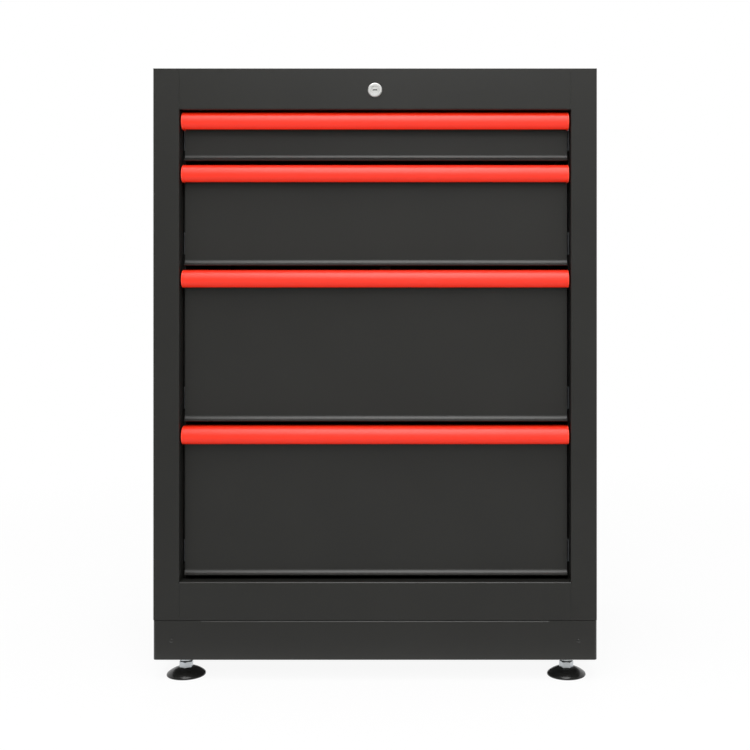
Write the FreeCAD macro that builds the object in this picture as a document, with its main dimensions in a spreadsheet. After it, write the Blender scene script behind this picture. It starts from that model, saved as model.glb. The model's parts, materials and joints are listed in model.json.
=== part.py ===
"""Workshop drawer cabinet: a folded sheet-steel shell on four levelling feet, four drawers
on ball slides, and one lock that holds every drawer through a bar at the back.

Millimetres. +Z is up, the fronts face -Y, and the origin is on the floor under the centre
of the whole cabinet. A depth is counted from the front plane of the shell towards the back.
"""

import FreeCAD
import Part
import Sketcher
import math
import os

# Every size that can be set by itself. All other places follow from these.
SIZES = {
    # the shell
    "body_width": 680.0,
    "body_depth": 458.0,
    "body_height": 906.0,
    "floor_gap": 32.0,
    "panel_sheet": 1.2,
    "back_sheet": 1.0,
    "bend_radius": 2.0,
    "shell_fit": 0.3,
    "stile_width": 40.0,
    "top_rail_height": 63.0,
    "bottom_rail_height": 59.0,
    "frame_return": 25.0,
    "return_lip": 10.0,
    "rear_flange": 16.0,
    "deck_flange": 15.0,
    "floor_flange": 15.0,
    # the plinth and what holds the feet
    "plinth_height": 60.0,
    "plinth_wrap": 60.0,
    "plinth_bend": 5.0,
    "plinth_flange": 18.0,
    "bracket_sheet": 3.0,
    "bracket_width": 84.0,
    "bracket_depth": 56.0,
    "bracket_inset": 5.0,
    "rivet_inset": 28.0,
    "rivet_height": 29.0,
    "rivet_radius": 3.0,
    "rivet_dome": 1.2,
    # the levelling feet
    "foot_inset_x": 44.0,
    "foot_inset_y": 31.0,
    "thread_radius": 6.0,
    "thread_clearance": 0.05,
    "hex_flats": 19.0,
    "nut_height": 10.0,
    "foot_hex_height": 9.0,
    "foot_hex_gap": 1.6,
    "foot_pad_radius": 30.0,
    "foot_pad_rim": 2.0,
    "foot_pad_chamfer": 0.8,
    "foot_collar_radius": 11.6,
    "foot_collar_edge": 0.8,
    "foot_travel": 18.0,
    # the drawers
    "drawer_recess": 23.5,
    "drawer_side_gap": 3.5,
    "drawer_gap": 7.0,
    "drawer_top_gap": 2.5,
    "drawer_bottom_gap": 6.5,
    "front_height_one": 74.0,
    "front_height_two": 155.0,
    "front_height_three": 234.0,
    "drawer_sheet": 1.0,
    "front_pan_depth": 8.5,
    "front_pan_lip": 14.0,
    "flare_depth": 8.0,
    "flare_height": 12.5,
    "flare_nose": 1.5,
    "tray_rise": 10.0,
    "tray_drop": 12.0,
    "tray_corner": 2.0,
    "handle_height": 28.0,
    "handle_wall": 2.2,
    "handle_crown": 15.5,
    "handle_side_gap": 2.6,
    "handle_cap": 2.0,
    # the ball slides
    "slide_thickness": 12.7,
    "slide_sheet": 1.2,
    "slide_rise": 25.0,
    "slide_end_gap": 1.0,
    "slide_travel": 300.0,
    "ball_radius": 2.4,
    "ball_height": 13.2,
    "ball_clearance": 0.25,
    "cage_sheet": 0.7,
    "cage_margin": 3.0,
    "upright_width": 30.0,
    "upright_inset": 45.0,
    "rivet_shank": 2.5,
    "rivet_head": 4.5,
    "rivet_head_height": 1.5,
    "hole_clearance": 0.05,
    # the screws of the back panel
    "screw_radius": 1.9,
    "screw_length": 6.0,
    "screw_head_radius": 4.0,
    "screw_head_height": 2.2,
    "screw_edge": 8.0,
    "screw_margin": 40.0,
    # the lock
    "lock_drop": 33.5,
    "lock_face_radius": 11.0,
    "lock_face": 2.5,
    "lock_barrel_radius": 9.4,
    "lock_barrel_length": 20.0,
    "plug_radius": 6.0,
    "plug_clearance": 0.05,
    "plug_recess": 0.4,
    "keyway_width": 1.6,
    "keyway_height": 7.0,
    "keyway_depth": 6.0,
    "lock_nut_flats": 24.0,
    "lock_nut_thickness": 4.0,
    "rod_radius": 3.0,
    "crank_length": 12.0,
    "crank_sheet": 3.0,
    "crank_pin_radius": 2.5,
    "crank_eye_wall": 2.0,
    "crank_hub_wall": 3.0,
    "pin_clearance": 0.6,
    "bar_width": 20.0,
    "bar_sheet": 2.0,
    "bar_head": 12.0,
    "bar_rear_gap": 1.8,
    "bar_guide_gap": 0.3,
    "bar_guide_sheet": 1.5,
    "bar_guide_height": 14.0,
    "bar_guide_foot": 12.0,
    "catch_sheet": 1.5,
    "catch_bend": 2.5,
    "catch_foot": 10.0,
    "catch_reach": 14.0,
    "catch_drop": 6.0,
    "catch_rise": 35.0,
    "catch_gap": 2.0,
    "finger_reach": 12.0,
    "finger_height": 9.0,
    "finger_gap": 1.0,
    "hanger_width": 24.0,
    "hanger_inset": 30.0,
}

BACK_SCREWS_PER_SIDE = 5
BALLS_PER_ROW = 5
# the share of a wall or a head that its rounded edge takes
EDGE_SHARE = 0.6
# how far short of a ball's middle a slide's lip ends, as a share of the ball's radius
SLIDE_LIP_SHARE = 0.25
# how high a foot's dome stands half-way out, as a share of its full height
FOOT_DOME_SHARE = 0.68
# the turn of the handle's lip below the level, where its lower edge ends
HANDLE_LIP_TURN = math.radians(69)

doc = FreeCAD.newDocument("drawer_cabinet")
sheet = doc.addObject("Spreadsheet::Sheet", "Sizes")
for row, (alias, number) in enumerate(SIZES.items(), start=1):
    sheet.set(f"A{row}", alias)
    sheet.set(f"B{row}", str(number))
    sheet.setAlias(f"B{row}", alias)
doc.recompute()


class Size:
    """A length that knows its number and the sheet expression that it comes from."""

    def __init__(self, number, text):
        self.number = float(number)
        self.text = text

    def joined(self, sign, other, flip=False):
        first, second = (as_size(other), self) if flip else (self, as_size(other))
        a, b = first.number, second.number
        number = {"+": a + b, "-": a - b, "*": a * b, "/": a / b if b else 0.0}[sign]
        return Size(number, f"({first.text} {sign} {second.text})")

    def __add__(self, other):
        return self.joined("+", other)

    def __radd__(self, other):
        return self.joined("+", other, flip=True)

    def __sub__(self, other):
        return self.joined("-", other)

    def __rsub__(self, other):
        return self.joined("-", other, flip=True)

    def __mul__(self, other):
        return self.joined("*", other)

    def __rmul__(self, other):
        return self.joined("*", other, flip=True)

    def __truediv__(self, other):
        return self.joined("/", other)

    def __neg__(self):
        return self.joined("*", -1)


def as_size(value):
    """A plain number or a Size, as a Size."""
    return value if isinstance(value, Size) else Size(value, repr(float(value)))


def root(value):
    """The square root of a Size."""
    return Size(math.sqrt(value.number), f"sqrt{value.text}")


class Sheet:
    """The sheet's cells by name, each as a Size."""

    def __getattr__(self, alias):
        return Size(SIZES[alias], f"Sizes.{alias}")


s = Sheet()


def bind(thing, prop, value):
    """Bind a property to the sheet."""
    thing.setExpression(prop, as_size(value).text)


# Outlines in a plane are lists of (u, v, arc): arc is None before a straight run, or
# (radius, turn) before an arc to the next point, where turn 1 runs anticlockwise.


def polygon(points):
    """A closed outline of straight runs."""
    return [(u, v, None) for u, v in points]


def rectangle(low_u, low_v, high_u, high_v):
    """A closed upright rectangle."""
    return polygon([(low_u, low_v), (high_u, low_v), (high_u, high_v), (low_u, high_v)])


def direction(start, end):
    """The unit vector along an axis from start to end, as two plain numbers."""
    du = as_size(end[0]).number - as_size(start[0]).number
    dv = as_size(end[1]).number - as_size(start[1]).number
    if abs(du) > abs(dv):
        return (math.copysign(1, du), 0)
    return (0, math.copysign(1, dv))


def rounded(points, radii):
    """A closed outline with square corners rounded: one radius, or None, for each point."""
    outline = []
    for i, (u, v) in enumerate(points):
        if radii[i] is None:
            outline.append((u, v, None))
            continue
        come = direction(points[i - 1], (u, v))
        go = direction((u, v), points[(i + 1) % len(points)])
        turn = int(come[0] * go[1] - come[1] * go[0])
        r = radii[i]
        outline.append((u - r * come[0], v - r * come[1], (r, turn)))
        outline.append((u + r * go[0], v + r * go[1], None))
    return outline


def folded(path, thickness, bend):
    """The closed section of a sheet folded square along path, with its metal on the left."""
    ways = [direction(a, b) for a, b in zip(path, path[1:])]
    last = len(path) - 1
    inner, outer_radii, inner_radii = [], [], []
    for i, (u, v) in enumerate(path):
        sides = {ways[max(i - 1, 0)], ways[min(i, last - 1)]}
        du = sum(-way[1] for way in sides)
        dv = sum(way[0] for way in sides)
        inner.append((u + thickness * du, v + thickness * dv))
        if i in (0, last):
            outer_radii.append(None)
            inner_radii.append(None)
            continue
        left = ways[i - 1][0] * ways[i][1] - ways[i - 1][1] * ways[i][0] > 0
        outer_radii.append(bend if left else bend - thickness)
        inner_radii.append(bend - thickness if left else bend)
    return rounded(path + inner[::-1], outer_radii + inner_radii[::-1])


def mirrored(path):
    """The same path on the other side of the middle plane, with its metal still on the left."""
    return [(-u, v) for u, v in reversed(path)]


def hexagon(u, v, flats):
    """A closed hexagon with two flats parallel to the v axis."""
    apothem = flats / 2
    half_side = apothem * (1 / math.sqrt(3))
    return polygon([
        (u + apothem, v - half_side), (u + apothem, v + half_side),
        (u, v + half_side * 2), (u - apothem, v + half_side),
        (u - apothem, v - half_side), (u, v - half_side * 2),
    ])


def add_outline(sketch, outline):
    """Draw one closed outline and pin each of its points and radii to the sheet."""
    at = [FreeCAD.Vector(as_size(u).number, as_size(v).number, 0) for u, v, _ in outline]
    geometry = []
    for i, (_, _, arc) in enumerate(outline):
        start, end = at[i], at[(i + 1) % len(at)]
        if arc is None:
            geometry.append(Part.LineSegment(start, end))
            continue
        radius, turn = as_size(arc[0]).number, arc[1]
        chord = end - start
        middle = (start + end) * 0.5
        height = math.sqrt(max(radius**2 - (chord.Length / 2) ** 2, 0))
        across = FreeCAD.Vector(-chord.y, chord.x, 0).normalize() * turn
        centre = middle + across * height
        geometry.append(Part.Arc(start, centre - across * radius, end))
    first = sketch.GeometryCount
    sketch.addGeometry(geometry, False)
    # an arc is stored anticlockwise, so a clockwise one starts at its second end
    starts = []
    for i in range(len(outline)):
        near = sketch.getPoint(first + i, 1).distanceToPoint(at[i])
        far = sketch.getPoint(first + i, 2).distanceToPoint(at[i])
        starts.append(1 if near <= far else 2)
    for i, (u, v, arc) in enumerate(outline):
        following = (i + 1) % len(outline)
        sketch.addConstraint(Sketcher.Constraint(
            "Coincident", first + i, 3 - starts[i], first + following, starts[following]))
        for kind, value in (("DistanceX", u), ("DistanceY", v)):
            value = as_size(value)
            index = sketch.addConstraint(
                Sketcher.Constraint(kind, first + i, starts[i], value.number))
            bind(sketch, f"Constraints[{index}]", value)
        if arc is not None:
            radius = as_size(arc[0])
            index = sketch.addConstraint(Sketcher.Constraint("Radius", first + i, radius.number))
            bind(sketch, f"Constraints[{index}]", radius)


def add_circle(sketch, u, v, radius):
    """Draw one circle and pin its centre and radius to the sheet."""
    u, v, radius = as_size(u), as_size(v), as_size(radius)
    centre = FreeCAD.Vector(u.number, v.number, 0)
    circle = sketch.addGeometry(Part.Circle(centre, FreeCAD.Vector(0, 0, 1), radius.number), False)
    for kind, value in (("DistanceX", u), ("DistanceY", v)):
        index = sketch.addConstraint(Sketcher.Constraint(kind, circle, 3, value.number))
        bind(sketch, f"Constraints[{index}]", value)
    index = sketch.addConstraint(Sketcher.Constraint("Radius", circle, radius.number))
    bind(sketch, f"Constraints[{index}]", radius)


def add_sketch(body, plane, start, outlines, circles):
    """A sketch on one of the body's own planes, moved to start along the third axis."""
    sketch = body.newObject("Sketcher::SketchObject", f"{body.Name}_sketch")
    origin_plane = next(f for f in body.Origin.OriginFeatures if f.Role == f"{plane}_Plane")
    sketch.AttachmentSupport = [(origin_plane, "")]
    sketch.MapMode = "FlatFace"
    bind(sketch, ".AttachmentOffset.Base.z", -as_size(start) if plane == "XZ" else start)
    for outline in outlines:
        add_outline(sketch, outline)
    for u, v, radius in circles:
        add_circle(sketch, u, v, radius)
    return sketch


def pad(body, plane, start, length, outlines=(), circles=()):
    """Add metal from start to start + length along the plane's third axis."""
    feature = body.newObject("PartDesign::Pad", f"{body.Name}_pad")
    feature.Profile = add_sketch(body, plane, start, outlines, circles)
    feature.Reversed = plane == "XZ"
    bind(feature, "Length", length)
    doc.recompute([feature.Profile[0], feature, body])


def pocket(body, plane, start, length, outlines=(), circles=()):
    """Cut from start to start + length along the plane's third axis."""
    before = body.Shape.Volume
    feature = body.newObject("PartDesign::Pocket", f"{body.Name}_pocket")
    feature.Profile = add_sketch(body, plane, start, outlines, circles)
    feature.Reversed = plane != "XZ"
    bind(feature, "Length", length)
    doc.recompute([feature.Profile[0], feature, body])
    if body.Shape.Volume >= before:
        raise RuntimeError(f"a cut in {body.Label} removed nothing")


def new_body(label):
    body = doc.addObject("PartDesign::Body", label)
    body.Label = label
    return body


def place(thing, x=0, y=0, z=0):
    """Bind an object's place to the sheet."""
    for axis, value in (("x", x), ("y", y), ("z", z)):
        bind(thing, f".Placement.Base.{axis}", value)


def soften(body, size, chosen):
    """Round the edges for which chosen(edge) is true."""
    shape = body.Shape
    names = [f"Edge{i}" for i, edge in enumerate(shape.Edges, start=1) if chosen(edge)]
    base = body.Tip
    feature = body.newObject("PartDesign::Fillet", f"{body.Name}_fillet")
    feature.Base = (base, names)
    bind(feature, "Radius", size)
    doc.recompute([feature, body])


def copies(label, source, places):
    """One node of separate solids: a copy of source at each place."""
    links = []
    for x, y, z in places:
        link = doc.addObject("App::Link", f"{label}_copy")
        link.LinkedObject = source
        place(link, x, y, z)
        links.append(link)
    return grouped(label, links)


def grouped(label, members):
    """One node of separate solids."""
    group = doc.addObject("Part::Compound", label)
    group.Label = label
    group.Links = members
    return group


def mirror_x(source):
    """The same object on the other side of the middle plane."""
    twin = doc.addObject("Part::Mirroring", f"{source.Name}_twin")
    twin.Source = source
    twin.Normal = FreeCAD.Vector(1, 0, 0)
    twin.Base = FreeCAD.Vector(0, 0, 0)
    return twin


# Places that several pieces share
half_width = s.body_width / 2
opening_half = half_width - s.stile_width
side_inner = half_width - s.panel_sheet
front_y = (s.lock_face - s.body_depth - s.screw_head_height) / 2
plinth_top = s.floor_gap + s.plinth_height
top = s.floor_gap + s.body_height
deck_under = top - s.panel_sheet
shell_height = deck_under - plinth_top
opening_top = top - s.top_rail_height
opening_bottom = plinth_top + s.bottom_rail_height
back_outer = s.body_depth - s.panel_sheet
back_inner = back_outer - s.back_sheet
lock_z = top - s.lock_drop
bar_front = back_inner - s.bar_rear_gap - s.bar_sheet
# locked, the lip of a bar's finger stands in front of the lip of the drawer's catch
catch_end = bar_front - s.finger_reach + s.catch_sheet * 2 + s.catch_gap
tray_back = catch_end - s.catch_reach
tray_front = s.drawer_recess + s.front_pan_depth
slide_start = tray_front + s.slide_end_gap
slide_length = tray_back - s.slide_end_gap - slide_start
slide_web = opening_half - s.slide_thickness
# at full travel the cage still lies between the ends of both members
cage_length = slide_length - s.slide_travel - s.cage_margin * 2
ball_x = opening_half - s.slide_thickness + s.slide_sheet * 2 + s.ball_radius + s.ball_clearance * 3
lift = s.crank_length * math.sqrt(2)
bar_x = -(s.crank_length * (1 + math.sqrt(0.5)) / 2)


def y_at(depth):
    """The Y of a depth behind the front plane."""
    return front_y + depth


class Drawer:
    """The sizes of one drawer, counted from the lower edge of its front."""

    def __init__(self, number, upper, height):
        self.name = f"drawer_{number}"
        self.height = height
        self.bottom = upper - height
        self.tray_height = height - s.tray_rise - s.tray_drop
        self.slide_z = self.bottom + s.tray_rise + s.slide_rise
        self.catch_z = self.bottom + s.tray_rise + s.catch_rise
        self.finger_z = self.catch_z - lift - s.finger_height - s.finger_gap


def lay_out_drawers():
    """The four drawers from the top down. The last one takes the height that is left."""
    heights = [s.front_height_one, s.front_height_two, s.front_height_three]
    drawers = []
    upper = opening_top - s.drawer_top_gap
    for height in heights:
        drawers.append(Drawer(len(drawers) + 1, upper, height))
        upper = drawers[-1].bottom - s.drawer_gap
    last = upper - opening_bottom - s.drawer_bottom_gap
    drawers.append(Drawer(len(drawers) + 1, upper, last))
    return drawers


drawers = lay_out_drawers()
nodes = []

screw_heights = [
    plinth_top + s.screw_margin
    + (shell_height - s.screw_margin * 2) * (i / (BACK_SCREWS_PER_SIDE - 1))
    for i in range(BACK_SCREWS_PER_SIDE)
]
slide_rivet_depths = [
    s.upright_inset + s.upright_width / 2,
    s.body_depth - s.upright_inset - s.upright_width / 2,
]


def side_panel(label, side):
    """One folded sheet: the side, the front stile with its return, and the back flange."""
    path = [
        (opening_half, y_at(s.frame_return)), (opening_half, y_at(0)),
        (half_width, y_at(0)), (half_width, y_at(s.body_depth)),
        (half_width - s.rear_flange, y_at(s.body_depth)),
    ]
    body = new_body(label)
    section = folded(path if side > 0 else mirrored(path), s.panel_sheet, s.bend_radius)
    pad(body, "XY", plinth_top, shell_height, [section])
    # the return stops short of the flanges of the floor pan and the deck
    low, high = opening_half - s.panel_sheet, opening_half + s.panel_sheet * 2
    notch = rectangle(
        low if side > 0 else -high, y_at(s.panel_sheet),
        high if side > 0 else -low, y_at(s.frame_return + s.panel_sheet))
    notch_low = s.panel_sheet + s.floor_flange + s.shell_fit
    notch_high = s.deck_flange + s.shell_fit
    pocket(body, "XY", plinth_top, notch_low, [notch])
    pocket(body, "XY", deck_under - notch_high, notch_high, [notch])
    holes = [
        ((half_width - s.screw_edge) * side, z, s.screw_radius + s.hole_clearance)
        for z in screw_heights
    ]
    pocket(body, "XZ", y_at(back_outer), s.panel_sheet, circles=holes)
    nodes.append(body)


def flanged_ring(outer_x, low_y, high_y):
    """The two outlines of a flange that runs all round the inside of the shell."""
    return [
        rectangle(-outer_x, low_y, outer_x, high_y),
        rectangle(-outer_x + s.panel_sheet, low_y + s.panel_sheet,
                  outer_x - s.panel_sheet, high_y - s.panel_sheet),
    ]


def inner_ring():
    return flanged_ring(side_inner - s.shell_fit, y_at(s.panel_sheet + s.shell_fit),
                        y_at(back_inner - s.shell_fit))


def top_panel():
    """The deck, with a flange all round that sits inside the shell."""
    body = new_body("top_panel")
    deck = rectangle(-half_width, y_at(0), half_width, y_at(s.body_depth))
    pad(body, "XY", deck_under, s.panel_sheet, [deck])
    pad(body, "XY", deck_under - s.deck_flange, s.deck_flange, inner_ring())
    upper = top.number
    soften(body, s.panel_sheet * EDGE_SHARE, lambda edge: abs(edge.CenterOfMass.z - upper) < 1e-4)
    nodes.append(body)


def floor_panel():
    """The floor pan inside the shell, with its flange turned up."""
    body = new_body("floor_panel")
    outer_x = side_inner - s.shell_fit
    low_y, high_y = y_at(s.panel_sheet + s.shell_fit), y_at(back_inner - s.shell_fit)
    pad(body, "XY", plinth_top, s.panel_sheet, [rectangle(-outer_x, low_y, outer_x, high_y)])
    pad(body, "XY", plinth_top + s.panel_sheet, s.floor_flange, inner_ring())
    nodes.append(body)


def back_panel():
    body = new_body("back_panel")
    half = half_width - s.bend_radius - s.shell_fit
    plate = rectangle(-half, plinth_top, half, deck_under)
    holes = [
        ((half_width - s.screw_edge) * side, z, s.screw_radius + s.hole_clearance)
        for side in (-1, 1) for z in screw_heights
    ]
    pad(body, "XZ", y_at(back_inner), s.back_sheet, [plate])
    pocket(body, "XZ", y_at(back_inner), s.back_sheet, circles=holes)
    nodes.append(body)


def top_rail():
    """The rail over the drawers, with the hole for the lock."""
    body = new_body("top_rail")
    path = [
        (y_at(0), deck_under), (y_at(0), opening_top),
        (y_at(s.frame_return), opening_top), (y_at(s.frame_return), opening_top + s.return_lip),
    ]
    section = folded(path, s.panel_sheet, s.bend_radius)
    pad(body, "YZ", -opening_half, opening_half * 2, [section])
    hole = (0, lock_z, s.lock_barrel_radius + s.hole_clearance)
    pocket(body, "XZ", y_at(0), s.panel_sheet, circles=[hole])
    nodes.append(body)


def bottom_rail():
    """The rail under the drawers."""
    body = new_body("bottom_rail")
    path = [
        (y_at(s.frame_return), opening_bottom - s.return_lip), (y_at(s.frame_return), opening_bottom),
        (y_at(0), opening_bottom), (y_at(0), plinth_top),
    ]
    section = folded(path, s.panel_sheet, s.bend_radius)
    pad(body, "YZ", -opening_half, opening_half * 2, [section])
    nodes.append(body)


def plinth_end(label, front):
    """The front or the back of the plinth: one sheet that wraps round both corners."""
    near, far = (y_at(0), y_at(s.plinth_wrap))
    if not front:
        near, far = (y_at(s.body_depth), y_at(s.body_depth - s.plinth_wrap))
    walls = [(-half_width, far), (-half_width, near), (half_width, near), (half_width, far)]
    walls = walls if front else walls[::-1]
    body = new_body(label)
    pad(body, "XY", s.floor_gap, s.plinth_height, [folded(walls, s.panel_sheet, s.plinth_bend)])
    for z in (s.floor_gap, plinth_top - s.panel_sheet):
        pad(body, "XY", z, s.panel_sheet, [plinth_flange_outline(walls)])
    if front:
        height = s.floor_gap + s.rivet_height
        holes = [
            ((half_width - s.rivet_inset) * side, height, s.rivet_radius / 2 + s.hole_clearance)
            for side in (-1, 1)
        ]
        pocket(body, "XZ", y_at(0), s.panel_sheet, circles=holes)
    nodes.append(body)


def plinth_flange_outline(walls):
    """The flat strip inside the plinth's walls, square to them."""
    ways = [direction(a, b) for a, b in zip(walls, walls[1:])]
    thick = s.panel_sheet / 2

    def shifted(amount):
        line = []
        for i, (u, v) in enumerate(walls):
            sides = {ways[max(i - 1, 0)], ways[min(i, len(ways) - 1)]}
            line.append((u + amount * sum(-w[1] for w in sides), v + amount * sum(w[0] for w in sides)))
        return line

    outer, inner = shifted(thick), shifted(s.plinth_flange + s.panel_sheet)
    corner = s.plinth_bend - thick
    return rounded(outer + inner[::-1], [None, corner, corner, None] + [None] * 4)


def plinth_side(side):
    """One straight side of the plinth, between the front and the back."""
    body = new_body("plinth_side_left" if side < 0 else "plinth_side_right")
    start, length = y_at(s.plinth_wrap), s.body_depth - s.plinth_wrap * 2
    inner = side_inner - s.plinth_flange
    path = [
        (inner, s.floor_gap), (half_width, s.floor_gap), (half_width, plinth_top),
        (inner, plinth_top),
    ]
    section = folded(path if side > 0 else mirrored(path), s.panel_sheet, s.bend_radius)
    pad(body, "XZ", start, length, [section])
    return body


def foot_places():
    """The four feet as (name, x side, y side, x, y)."""
    places = []
    for y_side, end in ((-1, "front"), (1, "rear")):
        for x_side, hand in ((-1, "left"), (1, "right")):
            x = (half_width - s.foot_inset_x) * x_side
            y = y_at(s.foot_inset_y) if y_side < 0 else y_at(s.body_depth - s.foot_inset_y)
            places.append((f"{end}_{hand}", x_side, y_side, x, y))
    return places


bracket_low = s.floor_gap + s.panel_sheet


def foot_brackets():
    """A thick gusset in each corner of the plinth, on its lower flanges."""
    gussets = []
    for name, x_side, y_side, x, y in foot_places():
        body = new_body(f"foot_bracket_{name}")
        far_x = (side_inner - s.bracket_inset) * x_side
        near_x = far_x - s.bracket_width * x_side
        edge = y_at(s.panel_sheet + s.bracket_inset)
        if y_side > 0:
            edge = y_at(s.body_depth - s.panel_sheet - s.bracket_inset)
        inner = edge - s.bracket_depth * y_side
        corners = [(near_x, edge), (far_x, edge), (far_x, inner), (near_x, inner)]
        pad(body, "XY", bracket_low, s.bracket_sheet, [polygon(corners)])
        hole = (x, y, s.thread_radius + s.thread_clearance)
        pocket(body, "XY", bracket_low, s.bracket_sheet, circles=[hole])
        gussets.append(body)
    nodes.append(grouped("foot_brackets", gussets))


def foot_nuts():
    """Two hexagon nuts on each foot's thread: one welded on the gusset, one locked under it."""
    body = new_body("foot_nut_one")
    pad(body, "XY", 0, s.nut_height, [hexagon(0, 0, s.hex_flats)])
    pocket(body, "XY", 0, s.nut_height, circles=[(0, 0, s.thread_radius + s.thread_clearance)])
    levels = (bracket_low + s.bracket_sheet, bracket_low - s.nut_height)
    places = [(x, y, low) for low in levels for _, _, _, x, y in foot_places()]
    nodes.append(copies("foot_nuts", body, places))


def plinth_rivets():
    """Two dome rivets that hold the front of the plinth to its corners."""
    body = new_body("plinth_rivet_one")
    pad(body, "XZ", -s.rivet_dome, s.rivet_dome, circles=[(0, 0, s.rivet_radius)])
    pad(body, "XZ", 0, s.panel_sheet, circles=[(0, 0, s.rivet_radius / 2)])
    face = -s.rivet_dome.number
    soften(body, s.rivet_dome * EDGE_SHARE, lambda edge: abs(edge.CenterOfMass.y - face) < 1e-4)
    places = [
        ((half_width - s.rivet_inset) * side, y_at(0), s.floor_gap + s.rivet_height)
        for side in (-1, 1)
    ]
    return copies("plinth_rivets", body, places)


def levelling_foot(name, x, y):
    """One foot: a threaded stud with its hexagon, and the round pad that it stands in."""
    nut_low = bracket_low - s.nut_height
    hex_top = nut_low - s.foot_hex_gap
    hex_low = hex_top - s.foot_hex_height
    stud = new_body(f"foot_stud_{name}")
    pad(stud, "XY", hex_low, s.foot_hex_height, [hexagon(0, 0, s.hex_flats)])
    # at full travel the thread still fills the weld nut
    thread_top = bracket_low + s.bracket_sheet + s.nut_height + s.foot_travel
    pad(stud, "XY", hex_top, thread_top - hex_top, circles=[(0, 0, s.thread_radius)])
    place(stud, x, y)
    foot = new_body(f"foot_pad_{name}")
    half_way = (s.foot_collar_radius + s.foot_pad_radius) / 2
    profile = [
        (0, 0, None), (s.foot_pad_radius - s.foot_pad_chamfer, 0, None),
        (s.foot_pad_radius, s.foot_pad_chamfer, None), (s.foot_pad_radius, s.foot_pad_rim, None),
        (half_way, hex_low * FOOT_DOME_SHARE, None),
        (s.foot_collar_radius, hex_low - s.foot_collar_edge, None),
        (s.foot_collar_radius - s.foot_collar_edge, hex_low, None), (0, hex_low, None),
    ]
    turned = foot.newObject("PartDesign::Revolution", f"foot_pad_{name}_turned")
    turned.Profile = add_sketch(foot, "XZ", 0, [profile], [])
    z_axis = next(f for f in foot.Origin.OriginFeatures if f.Role == "Z_Axis")
    turned.ReferenceAxis = (z_axis, [""])
    turned.Angle = 360
    doc.recompute()
    place(foot, x, y)
    nodes.extend([stud, foot])


def slide_uprights():
    """Four posts inside the shell that carry the slides."""
    posts = []
    low = plinth_top + s.panel_sheet
    reach = side_inner - s.shell_fit - s.panel_sheet
    for depth in slide_rivet_depths:
        near, far = y_at(depth - s.upright_width / 2), y_at(depth + s.upright_width / 2)
        path = [(reach, far), (opening_half, far), (opening_half, near), (reach, near)]
        for side, hand in ((-1, "left"), (1, "right")):
            end = "front" if depth is slide_rivet_depths[0] else "rear"
            body = new_body(f"slide_upright_{end}_{hand}")
            section = folded(path if side > 0 else mirrored(path), s.panel_sheet, s.bend_radius)
            pad(body, "XY", low, deck_under - low, [section])
            holes = [(y_at(depth), d.slide_z, s.rivet_shank + s.hole_clearance) for d in drawers]
            start = opening_half if side > 0 else -opening_half - s.panel_sheet
            pocket(body, "YZ", start, s.panel_sheet, circles=holes)
            posts.append(body)
    nodes.append(grouped("slide_uprights", posts))


ball_top = s.ball_height + s.ball_radius + s.ball_clearance
ball_low = s.ball_height - s.ball_radius - s.ball_clearance


def outer_section():
    """The cabinet member of a slide: a channel whose lips turn in over the balls."""
    web_in = opening_half - s.slide_sheet
    high_out = ball_top + s.slide_sheet
    lip = slide_web + s.slide_sheet + s.ball_clearance * 2
    lip_end = s.ball_height - s.ball_radius * SLIDE_LIP_SHARE
    return polygon([
        (opening_half, -high_out), (opening_half, high_out), (lip, high_out), (lip, lip_end),
        (lip + s.slide_sheet, lip_end), (lip + s.slide_sheet, ball_top), (web_in, ball_top),
        (web_in, -ball_top), (lip + s.slide_sheet, -ball_top), (lip + s.slide_sheet, -lip_end),
        (lip, -lip_end), (lip, -high_out),
    ])


def inner_section():
    """The drawer member of a slide: a channel whose flanges run under and over the balls."""
    web_in = slide_web + s.slide_sheet
    flange_end = ball_x + s.ball_radius + s.ball_clearance * 2 + s.slide_sheet
    lip_end = s.ball_height - s.ball_radius * SLIDE_LIP_SHARE
    low = ball_low - s.slide_sheet
    half = [
        (slide_web, ball_low), (flange_end - s.slide_sheet, ball_low),
        (flange_end - s.slide_sheet, lip_end), (flange_end, lip_end), (flange_end, low),
        (web_in, low),
    ]
    return polygon(half + [(u, -v) for u, v in reversed(half)])


def slide_member(label, section, z):
    """A straight slide member with the given section, on the right-hand side at height z."""
    body = new_body(label)
    pad(body, "XZ", y_at(slide_start), slide_length, [section])
    place(body, z=z)
    return body


def outer_slides():
    """The cabinet members of all the slides, left and right."""
    members = []
    for drawer in drawers:
        body = slide_member(f"{drawer.name}_outer_member", outer_section(), drawer.slide_z)
        holes = [(y_at(d), 0, s.rivet_shank + s.hole_clearance) for d in slide_rivet_depths]
        pocket(body, "YZ", opening_half - s.slide_sheet, s.slide_sheet, circles=holes)
        members.append(body)
    nodes.append(grouped("slide_outer_members", members + [mirror_x(m) for m in members]))


def slide_rivets():
    """The rivets that hold the cabinet members to the uprights, flush inside the slide."""
    body = new_body("slide_rivet_one")
    through = s.slide_sheet + s.panel_sheet
    pad(body, "YZ", 0, through, circles=[(0, 0, s.rivet_shank)])
    pad(body, "YZ", through, s.rivet_head_height, circles=[(0, 0, s.rivet_head)])
    spots = [(y_at(d), drawer.slide_z) for drawer in drawers for d in slide_rivet_depths]
    right = copies("slide_rivets", body, [(opening_half - s.slide_sheet, y, z) for y, z in spots])
    return [right, mirror_x(right)]


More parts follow.
